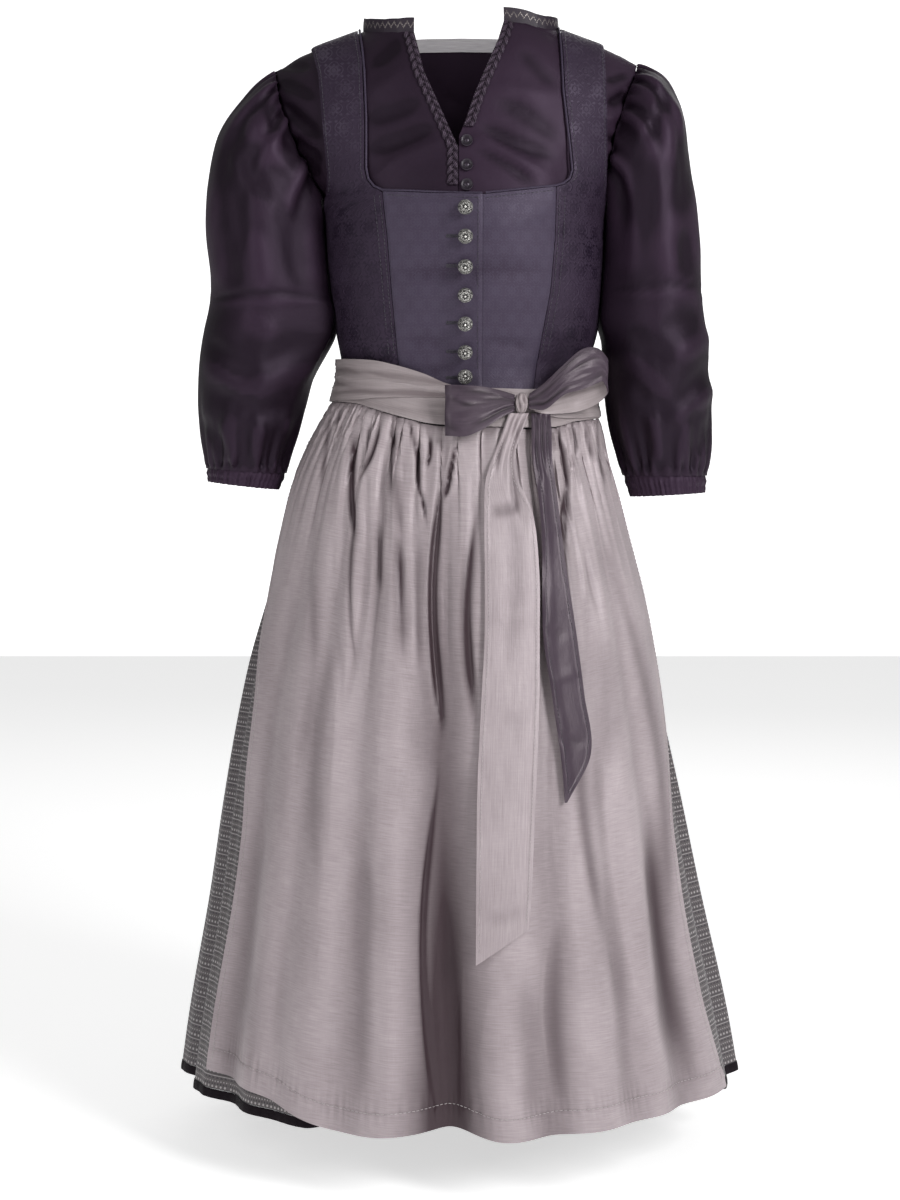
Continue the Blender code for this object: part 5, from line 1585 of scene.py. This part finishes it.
# Long soft folds and shorter creases of the apron between its large folds, by x and z
APRON_FOLDS = [
    (-132, -400, -150, -640, 3, -1.6), (-118, -404, -128, -560, 2.6, 1.4), (-104, -408, -118, -700, 3, -1.8),
    (-92, -410, -98, -540, 2.4, 1.2), (-80, -412, -92, -660, 2.8, -1.6), (-66, -414, -72, -520, 2.2, 1.1),
    (-58, -414, -60, -600, 2.6, -1.4), (-38, -414, -40, -520, 2.2, 1.2), (88, -412, 100, -560, 2.6, -1.4),
    (102, -412, 120, -640, 3.0, 1.4), (118, -408, 140, -600, 2.8, -1.6), (132, -402, 156, -540, 2.6, 1.2),
    (-150, -640, -176, -900, 6, 1.8), (-190, -760, -204, -1060, 7, -2.2), (-120, -700, -136, -980, 7, 2.0),
    (-164, -860, -176, -1070, 6, -1.8), (-96, -780, -100, -1060, 8, -2.0), (-70, -820, -72, -1080, 7, 2.0),
    (34, -940, 30, -1080, 7, 2.0), (104, -660, 116, -960, 7, 1.8), (130, -720, 160, -1060, 7, -2.2),
    (160, -640, 196, -980, 7, 1.8), (190, -800, 214, -1070, 7, -2.0), (96, -880, 100, -1080, 6, -1.6),
    (-128, -610, -122, -700, 3, -1.0), (140, -560, 150, -650, 3, 1.0), (-172, -560, -182, -660, 4, -1.2),
    (62, -940, 66, -1080, 8, -1.8), (-24, -440, -30, -700, 3.4, 1.6), (-10, -450, -14, -640, 3, -1.2),
    (-58, -560, -64, -900, 13, 1.6), (-121, -640, -123, -1078, 1.3, 0.5), (1, -930, 0, -1088, 1.3, 0.5),
    (84, -900, 85, -1040, 1.3, 0.5),
]
# Narrow folds of the apron that fall into shadow: x0, z0, x1, z1, width, darkness
APRON_SLITS = [
    (-108, -412, -108, -520, 2.6, 1.0), (-108, -500, -107, -640, 1.8, 0.5), (-83, -404, -103, -462, 1.5, 0.8),
    (-69, -405, -72, -482, 1.6, 0.7), (-43.5, -424, -43, -478, 1.8, 1.0), (-43, -470, -35, -506, 1.2, 0.7),
    (-20, -470, -19, -700, 3.2, 1.1), (-11, -446, -17, -482, 1.6, 0.9), (-4, -426, -10, -455, 1.5, 0.8),
    (14, -500, 14, -700, 4.0, 0.8), (99, -414, 108, -474, 1.8, 0.9), (109, -462, 114, -640, 3.2, 1.0),
    (114, -404, 119, -440, 1.4, 0.7), (129, -404, 136, -444, 1.4, 0.7), (-53, -404, -47, -440, 1.4, 0.7),
    (-32, -418, -35, -452, 1.4, 0.8), (-125, -388, -129, -408, 1.4, 0.7), (-66, -455, -62, -516, 3.0, 0.4),
    (-65, -515, -59, -640, 4.2, 0.55), (-84, -506, -82, -575, 3.0, 0.35), (-43, -520, -43, -650, 3.6, 0.35),
    (-92, -404, -95, -436, 1.3, 0.6), (142, -402, 150, -470, 1.8, 0.5), (140, -610, 152, -760, 8, 0.22),
    (-136, -392, -146, -470, 2.0, 0.5),
    (88, -408, 90, -440, 1.3, 0.6), (-150, -560, -166, -760, 5.0, 0.25), (-128, -620, -142, -860, 6.0, 0.25),
    (158, -560, 212, -900, 5, 0.28), (198, -800, 236, -1076, 10, 0.3), (148, -740, 186, -980, 9, -0.25),
    (118, -640, 138, -900, 5.0, 0.4), (-24, -760, -22, -1084, 2.4, 0.5),
]


def make_apron():
    """Makes the apron, and gives the lines that its sewing follows."""
    share = spread(0, 1, 284)[None, :]
    down = np.concatenate([spread(0, 0.12, 28), spread(0.13, 0.955, 66), spread(0.96, 1, 12)])[:, None]
    level = mix(-400, -1080, down) + 0 * share
    for _ in range(4):
        turn = mix(APRON_EDGE.at("left", level), APRON_EDGE.at("right", level), share)
        level = mix(APRON_SEAM.at("level", turn) - 0.5, APRON_HEM.at("level", turn), down)
    points = outside(apron, turn, level, apron_out(turn, level))
    x, z = points[..., 0], points[..., 2]
    below = APRON_SEAM.at("level", turn) - level
    above_hem = level - APRON_HEM.at("level", turn)
    luck = 0.7 * np.sin(turn * 0.9) + 0.5 * np.sin(turn * 0.37 + 1)
    gather = 1.4 * np.sin(turn * 1.83 + 2.2 * luck) * (1 - ease(below / 85)) * ease(below / 6)
    gather = gather + 0.9 * np.sin(turn * 0.93 + luck * 1.5) * (1 - ease((below - 30) / 200)) * ease(below / 16)
    pucker = 0.7 * np.sin(turn * 4.3 + 2 * luck) * bump((above_hem - APRON_HEM_HEIGHT + 0.5) / 10)
    pucker = pucker * (0.4 + 0.6 * abs(np.sin(turn * 0.31)))
    hem = 0.4 * ease((APRON_HEM_HEIGHT + 0.5 - above_hem) / 1.5)
    hem = hem - 0.35 * bump((above_hem - APRON_HEM_HEIGHT) / 0.9)
    quiet = 0.35 + 0.65 * ease((-abs(x - 47) + 200) / 60)
    soft = 0.9 * grain(points, 34, 3.0) * ease(below / 60)
    slits = crease(x, z, APRON_SLITS)
    banks = crease(x, z, [(x0, z0, x1, z1, width * 3.2, deep) for x0, z0, x1, z1, width, deep in APRON_SLITS])
    folds = crease(x, z, APRON_FOLDS) * 1.4 + soft + 2.6 * banks - 4.8 * slits
    height = gather + folds * quiet * ease(below / 10) + pucker + hem
    height = np.maximum(height, -3.0)
    height = np.minimum(height, 1.6 + 1.4 * ease((abs(turn - 16) - 14) / 6))  # clear of the tails
    valley = clamp((front_fold_depth(turn, level) - 5) / 21)
    shade = valley + 0.35 * clamp(-height / 2.5) + 0.5 * bump(below / 3) + 1.25 * slits
    uv = np.stack([(share - 0.5) * 1.15 + 0 * level, -below * MM], axis=-1)
    points = raised(points, height)
    piece = shell("cloth_apron", points, FINE_SHELL, TAFFETA, uv=uv, shade=shade)
    wear(piece, "apron")
    normals = normals_of(points, False)
    columns = np.arange(points.shape[1])
    row = abs(above_hem - APRON_HEM_HEIGHT).argmin(axis=0)
    hem_line = points[row, columns] + normals[row, columns] * 0.55
    sides = [points[4:-4, column] + normals[4:-4, column] * 0.3 for column in (3, -4)]
    return [hem_line[3:-3], *sides]


GORES = {"front": (-56, 56), "right": (56, 120), "back": (120, 240), "left": (240, 304)}


def skirt_out(level):
    return mix(1.8, 0, ease((WAIST - level) / 45))


def make_skirt():
    edge = HEM + BINDING
    top = WAIST - WAIST_SPLIT
    for name, (low, high) in GORES.items():
        turns = spread(low - 0.04, high + 0.04, max(int((high - low) * 2.0), 60))[None, :]
        # Under the apron the lower edge is lifted, so that it stays hidden
        lift = 5.5 * ease((signed(turns) + 31) / 6) * (1 - ease((signed(turns) - 62) / 6))
        step = 20 if name == "front" else 38
        share = np.concatenate([spread(0, 0.13, step), spread(0.139, 1, step + 10)])[:, None]
        level = mix(top, edge + lift, share)
        turn = turns + 0 * level
        points = outside(skirt, turn, level, skirt_out(level))
        away = signed(turn)
        if name == "front":
            long = 0 * level
        else:
            luck = np.sin(away * 0.61) + 0.6 * np.sin(away * 0.23 + 1)
            reach = np.where(away < 0, -APRON_EDGE.at("left", level), APRON_EDGE.at("right", level))
            free = ease((abs(away) - reach - 1) / 5)
            small = 0.8 * np.sin(away * 2.1 + 2 * luck) * (1 - ease((top - level) / 120))
            small = small * ease((top - level - 22) / 20)
            long = 1.6 * np.sin(away * 0.52 + luck + level / 260) * ease((top - level) / 260) * free
            points = raised(points, small * free + long)
        shade = 0.8 * clamp(back_fold_depth(away, level) / 30)
        across = ((turn - low) / (high - low) - 0.5) * FLAT[f"skirt_{name}"][0]
        uv = np.stack([across, level * MM], axis=-1)
        piece = shell(f"cloth_skirt_{name}", points, FINE_SHELL, BROCADE, uv=uv, shade=shade)
        wear(piece, f"skirt_{name}")
        level = spread(edge - 0.4, HEM, 6)[:, None] + lift
        turn = turns + 0 * level
        points = raised(outside(skirt, turn, level, 0.5), long[-1:] + 0 * level)
        swell = 0.35 * np.sin(np.pi * (edge + lift - level) / BINDING) + 0.15 * np.sin(turn * 3)
        piece = shell(f"velvet_{name}", raised(points, swell), 1.9, VELVET)
        wear(piece, f"hem_binding_{name}")


def clear_choice():
    for thing in bpy.context.selected_objects:
        thing.select_set(False)


def in_edit(thing):
    """Puts one object alone in edit mode with nothing of it chosen."""
    clear_choice()
    thing.select_set(True)
    bpy.context.view_layer.objects.active = thing
    bpy.ops.object.mode_set(mode="EDIT")
    bpy.ops.mesh.select_mode(type="FACE")
    bpy.ops.mesh.select_all(action="DESELECT")


def choose_faces(thing, wanted):
    mesh = bmesh.from_edit_mesh(thing.data)
    for face in mesh.faces:
        face.select_set(wanted(face))
    bmesh.update_edit_mesh(thing.data)


def leave_edit():
    bpy.ops.object.mode_set(mode="OBJECT")


def joined(things, name):
    clear_choice()
    for thing in things:
        thing.select_set(True)
    bpy.context.view_layer.objects.active = things[0]
    bpy.ops.object.join()
    made = bpy.context.object
    made.name = made.data.name = name
    return made


def model_ball():
    """One filigree ball button, its foot at the origin and its face towards +z, in metres."""
    r = BALL * MM
    centre = Vector((0, 0, BALL_MIDDLE * MM))
    clear_choice()
    bpy.ops.mesh.primitive_uv_sphere_add(segments=32, ring_count=18, radius=r * 0.88, location=centre)
    ball = bpy.context.object
    in_edit(ball)
    choose_faces(ball, lambda face: face.normal.z > 0.93)
    bpy.ops.mesh.inset(thickness=0.0004)
    bpy.ops.transform.translate(value=(0, 0, -0.0005))
    choose_faces(ball, lambda face: face.normal.z < -0.9)
    bpy.ops.mesh.inset(thickness=0.0006)
    bpy.ops.mesh.extrude_region_shrink_fatten(TRANSFORM_OT_shrink_fatten={"value": 0.0004})
    leave_edit()
    parts = [ball]
    clear_choice()
    bpy.ops.mesh.primitive_cylinder_add(
        vertices=16, radius=2.5 * MM, depth=1.5 * MM, location=(0, 0, 1.35 * MM)
    )
    shank = bpy.context.object
    in_edit(shank)
    choose_faces(shank, lambda face: abs(face.normal.z) > 0.9)
    bpy.ops.mesh.bevel(offset=0.0003, segments=2)
    leave_edit()
    parts.append(shank)
    bpy.ops.mesh.primitive_torus_add(
        location=centre, major_radius=r * 0.93, minor_radius=0.5 * MM, major_segments=40, minor_segments=8
    )
    parts.append(bpy.context.object)
    bpy.ops.mesh.primitive_torus_add(
        location=(0, 0, 13.3 * MM), major_radius=r * 0.42, minor_radius=0.36 * MM, major_segments=28,
        minor_segments=6,
    )
    parts.append(bpy.context.object)
    for count, shift, lean, size, wire in (
        (7, 0, 50.0, 1.9, 0.3), (7, 0.5, 28.0, 0.85, 0.26), (9, 0, 74.0, 1.25, 0.26),
    ):
        tilt = math.radians(lean)
        for k in range(count):
            a = math.tau * (k + shift) / count
            place = Vector((math.sin(tilt) * math.cos(a), math.sin(tilt) * math.sin(a), math.cos(tilt)))
            clear_choice()
            bpy.ops.mesh.primitive_torus_add(
                location=place * r * 0.9 + centre, rotation=(0, tilt, a), major_radius=size * MM,
                minor_radius=wire * MM, major_segments=14, minor_segments=5,
            )
            parts.append(bpy.context.object)
            bpy.ops.mesh.primitive_ico_sphere_add(
                subdivisions=1, radius=wire * 1.7 * MM, location=place * r * 0.94 + centre
            )
            parts.append(bpy.context.object)
    clear_choice()
    bpy.ops.mesh.primitive_ico_sphere_add(subdivisions=2, radius=1.5 * MM, location=(0, 0, 14.0 * MM))
    parts.append(bpy.context.object)
    made = joined(parts, "ball_pattern")
    bpy.ops.object.transform_apply(location=True, rotation=True, scale=True)
    # How bright each point's silver is: the outer wires and rings are rubbed and the hollows tarnished, and
    # painted shade darkens each ball towards its rim, where it turns away from the front.
    bright_share = []
    for v in made.data.vertices:
        away = v.co - centre
        bright_share.append((away.length / r - 0.905) / 0.05 * min(max(0.15 + 1.15 * away.z / away.length, 0), 1))
    give_shade(made.data, bright_share)
    return made


def model_rim_button():
    """One small button of the blouse: a dished disc in a raised rim, with a ring of beads round its middle."""
    clear_choice()
    bpy.ops.mesh.primitive_cylinder_add(
        vertices=48, radius=RIM_BUTTON * MM, depth=1.4 * MM, location=(0, 0, 2.5 * MM)
    )
    disc = bpy.context.object
    in_edit(disc)
    choose_faces(disc, lambda face: face.normal.z > 0.9)
    bpy.ops.mesh.inset(thickness=0.0005)
    bpy.ops.transform.translate(value=(0, 0, 0.0004))
    bpy.ops.mesh.inset(thickness=0.0008)
    bpy.ops.transform.translate(value=(0, 0, -0.0008))
    bpy.ops.mesh.inset(thickness=0.0022)
    bpy.ops.transform.translate(value=(0, 0, -0.0001))
    bpy.ops.mesh.inset(thickness=0.0006)
    bpy.ops.transform.translate(value=(0, 0, 0.0007))
    choose_faces(disc, lambda face: face.normal.z < -0.9)
    bpy.ops.mesh.inset(thickness=0.0036)
    bpy.ops.mesh.extrude_region_move(TRANSFORM_OT_translate={"value": (0, 0, -0.0012)})
    leave_edit()
    parts = [disc]
    for k in range(14):
        a = math.tau * k / 14
        bpy.ops.mesh.primitive_ico_sphere_add(
            subdivisions=1, radius=0.55 * MM,
            location=(3.7 * MM * math.cos(a), 3.7 * MM * math.sin(a), 2.6 * MM),
        )
        parts.append(bpy.context.object)
    made = joined(parts, "rim_pattern")
    bpy.ops.object.transform_apply(location=True, rotation=True, scale=True)
    high = [(v.co.z - 2.2 * MM) / (1.4 * MM) for v in made.data.vertices]
    give_shade(made.data, high)
    return made


def place_copies(pattern, name, places, finish):
    """Copies of one modelled button, each with its own mesh in place."""
    for i, (foot, axis) in enumerate(places):
        mesh = pattern.data.copy()
        turn = Vector((0, 0, 1)).rotation_difference(Vector(axis)).to_matrix().to_4x4()
        mesh.transform(turn)
        made = bpy.data.objects.new(f"{name}_copy_{i + 1}", mesh)
        mesh.transform(made.matrix_basis.Translation(Vector(foot) * MM))
        mesh.materials.clear()
        mesh.materials.append(finish)
        mesh.shade_smooth()
        mesh.set_sharp_from_angle(angle=math.radians(50))
        bpy.context.scene.collection.objects.link(made)
        hard(made, f"{name}_{i + 1}")
    bpy.data.objects.remove(pattern)


def make_buttons():
    places = []
    for level in BALL_LEVELS:
        turn = turn_at(BALL_X, level)
        foot = outside(body, turn, level, lapped(turn, level))
        places.append((foot, outside(body, turn, level, 1.0) - body(turn, level)))
    place_copies(model_ball(), "ball_button", places, SILVER)
    places = []
    for level in RIM_BUTTON_LEVELS:
        turn = turn_at(RIM_BUTTON_X, level)
        foot = body(turn, level)
        places.append((foot, outside(body, turn, level, 1.0) - foot))
    place_copies(model_rim_button(), "rim_button", places, DARK_METAL)


def aim(thing, target):
    thing.rotation_euler = (Vector(target) - thing.location).to_track_quat("-Z", "Y").to_euler()


def soft_light(name, place, target, size, power):
    lamp = bpy.data.lights.new(name, "AREA")
    lamp.shape, lamp.size, lamp.size_y, lamp.energy = "RECTANGLE", size[0], size[1], power
    made = bpy.data.objects.new(name, lamp)
    made.location = place
    aim(made, target)
    bpy.context.scene.collection.objects.link(made)


def studio_plane(name, place, size, tilt, colour, roughness, glow):
    """A plain sheet of the studio, that gives off some light of its own."""
    bpy.ops.mesh.primitive_plane_add(size=1, location=place, rotation=(math.radians(tilt), 0, 0))
    made = bpy.context.object
    made.name = made.data.name = name
    made.scale = (*size, 1)
    finish = bpy.data.materials.new(name)
    finish.use_nodes = True
    inputs = finish.node_tree.nodes["Principled BSDF"].inputs
    inputs["Base Color"].default_value = (colour, colour, colour, 1)
    inputs["Roughness"].default_value = roughness
    inputs["Emission Color"].default_value = (1, 1, 1, 1)
    inputs["Emission Strength"].default_value = glow
    made.data.materials.append(finish)
    return made


def make_studio():
    eye = bpy.data.cameras.new("eye")
    eye.sensor_fit, eye.sensor_height, eye.sensor_width = "VERTICAL", 36.0, 27.0
    eye.lens, eye.shift_y = 60.0, -0.0625
    camera = bpy.data.objects.new("eye", eye)
    camera.location = EYE
    camera.rotation_euler = (math.radians(90 - EYE_TILT), 0, 0)
    bpy.context.scene.collection.objects.link(camera)
    bpy.context.scene.camera = camera
    studio_plane("studio_floor", (0, 0, FLOOR), (14, 14), 0, 0.86, 0.9, 0.6)
    wall = studio_plane("studio_wall", (0, 4.9, 0.6), (20, 12), 90, 0.9, 0.5, 0.75)
    wall.visible_glossy = wall.visible_diffuse = False
    world = bpy.data.worlds.new("studio")
    world.use_nodes = True
    world.node_tree.nodes["Background"].inputs["Color"].default_value = (1, 1, 1, 1)
    world.node_tree.nodes["Background"].inputs["Strength"].default_value = 0.22
    bpy.context.scene.world = world
    soft_light("key", (2.0, -2.1, 0.9), (0, 0, -0.5), (0.9, 1.6), 72)
    soft_light("fill", (-1.7, -2.3, 0.7), (0, 0, -0.6), (1.2, 1.8), 19)
    soft_light("back", (0.4, 2.2, 1.0), (0, 0, -0.4), (2.0, 1.4), 12)
    bpy.context.scene.view_settings.view_transform = "Standard"


# What each piece of cloth was cut to: width, length and, where it isn't a rectangle, area, in metres
FLAT = {
    "blouse_front_left": (0.21, 0.27, 0.050), "blouse_front_right": (0.21, 0.27, 0.051),
    "blouse_back": (0.42, 0.27, 0.104), "collar_left": (0.085, 0.0145), "collar_right": (0.078, 0.0145),
    "collar_back": (0.26, 0.0145), "braid_left": (0.0115, 0.185), "braid_right": (0.0115, 0.135),
    "sleeve_left": (0.44, 0.46, 0.17), "sleeve_right": (0.44, 0.46, 0.17),
    "cuff_left": (0.30, 0.024), "cuff_right": (0.30, 0.024),
    "bodice_side_front_left": (0.14, 0.40, 0.0385), "bodice_side_front_right": (0.13, 0.40, 0.0365),
    "bodice_front_left": (0.105, 0.21, 0.0200), "bodice_front_right": (0.105, 0.215, 0.0205),
    "bodice_side_back_left": (0.155, 0.40, 0.046), "bodice_side_back_right": (0.155, 0.40, 0.046),
    "bodice_back": (0.155, 0.31, 0.0345), "waistband": (0.38, 0.043),
    "sash_left": (0.225, 0.052, 0.0080), "sash_right": (0.125, 0.07, 0.0067), "sash_back": (0.34, 0.064),
    "knot": (0.045, 0.022), "bow_loop_left": (0.15, 0.05), "bow_loop_right": (0.175, 0.05),
    "tail_light": (0.056, 0.545), "tail_dark": (0.036, 0.40), "apron": (0.74, 0.70),
    "skirt_front": (0.58, 0.71), "skirt_right": (0.31, 0.71), "skirt_back": (0.66, 0.71),
    "skirt_left": (0.32, 0.71), "hem_binding_front": (0.58, 0.01), "hem_binding_right": (0.33, 0.01),
    "hem_binding_back": (0.66, 0.01), "hem_binding_left": (0.33, 0.01),
}

make_studio()
make_blouse_front("left", BLOUSE_EDGE_LEFT, BLOUSE_FOLDS_LEFT)
make_blouse_front("right", BLOUSE_EDGE_RIGHT, BLOUSE_FOLDS_RIGHT)
make_blouse_back()
make_collar()
make_braid("left", BLOUSE_EDGE_LEFT, 0.5, -171)
make_braid("right", BLOUSE_EDGE_RIGHT, 13.5, -110)
for side, sections in (("left", SLEEVE_LEFT), ("right", SLEEVE_RIGHT)):
    make_sleeve(side, sections)
    make_cuff(side, sections)
for make_panel in (make_side_front, make_front, make_side_back):
    make_panel("left")
    make_panel("right")
make_back()
make_piping()
make_bodice_sewing()
make_buttonholes()
make_waistband()
make_sash()
make_knot()
make_loop("left")
make_loop("right")
make_tail("light", LIGHT_TAIL, LIGHT_TAIL_SLANT, TAFFETA, LIGHT_TAIL_FOLDS, HEM_SEWING)
make_tail("dark", DARK_TAIL, 0, RIBBON, DARK_TAIL_FOLDS, SEWING)
stitches("apron_sewing", make_apron(), HEM_SEWING, 3.0, 1.6, 0.32)
make_skirt()
make_buttons()
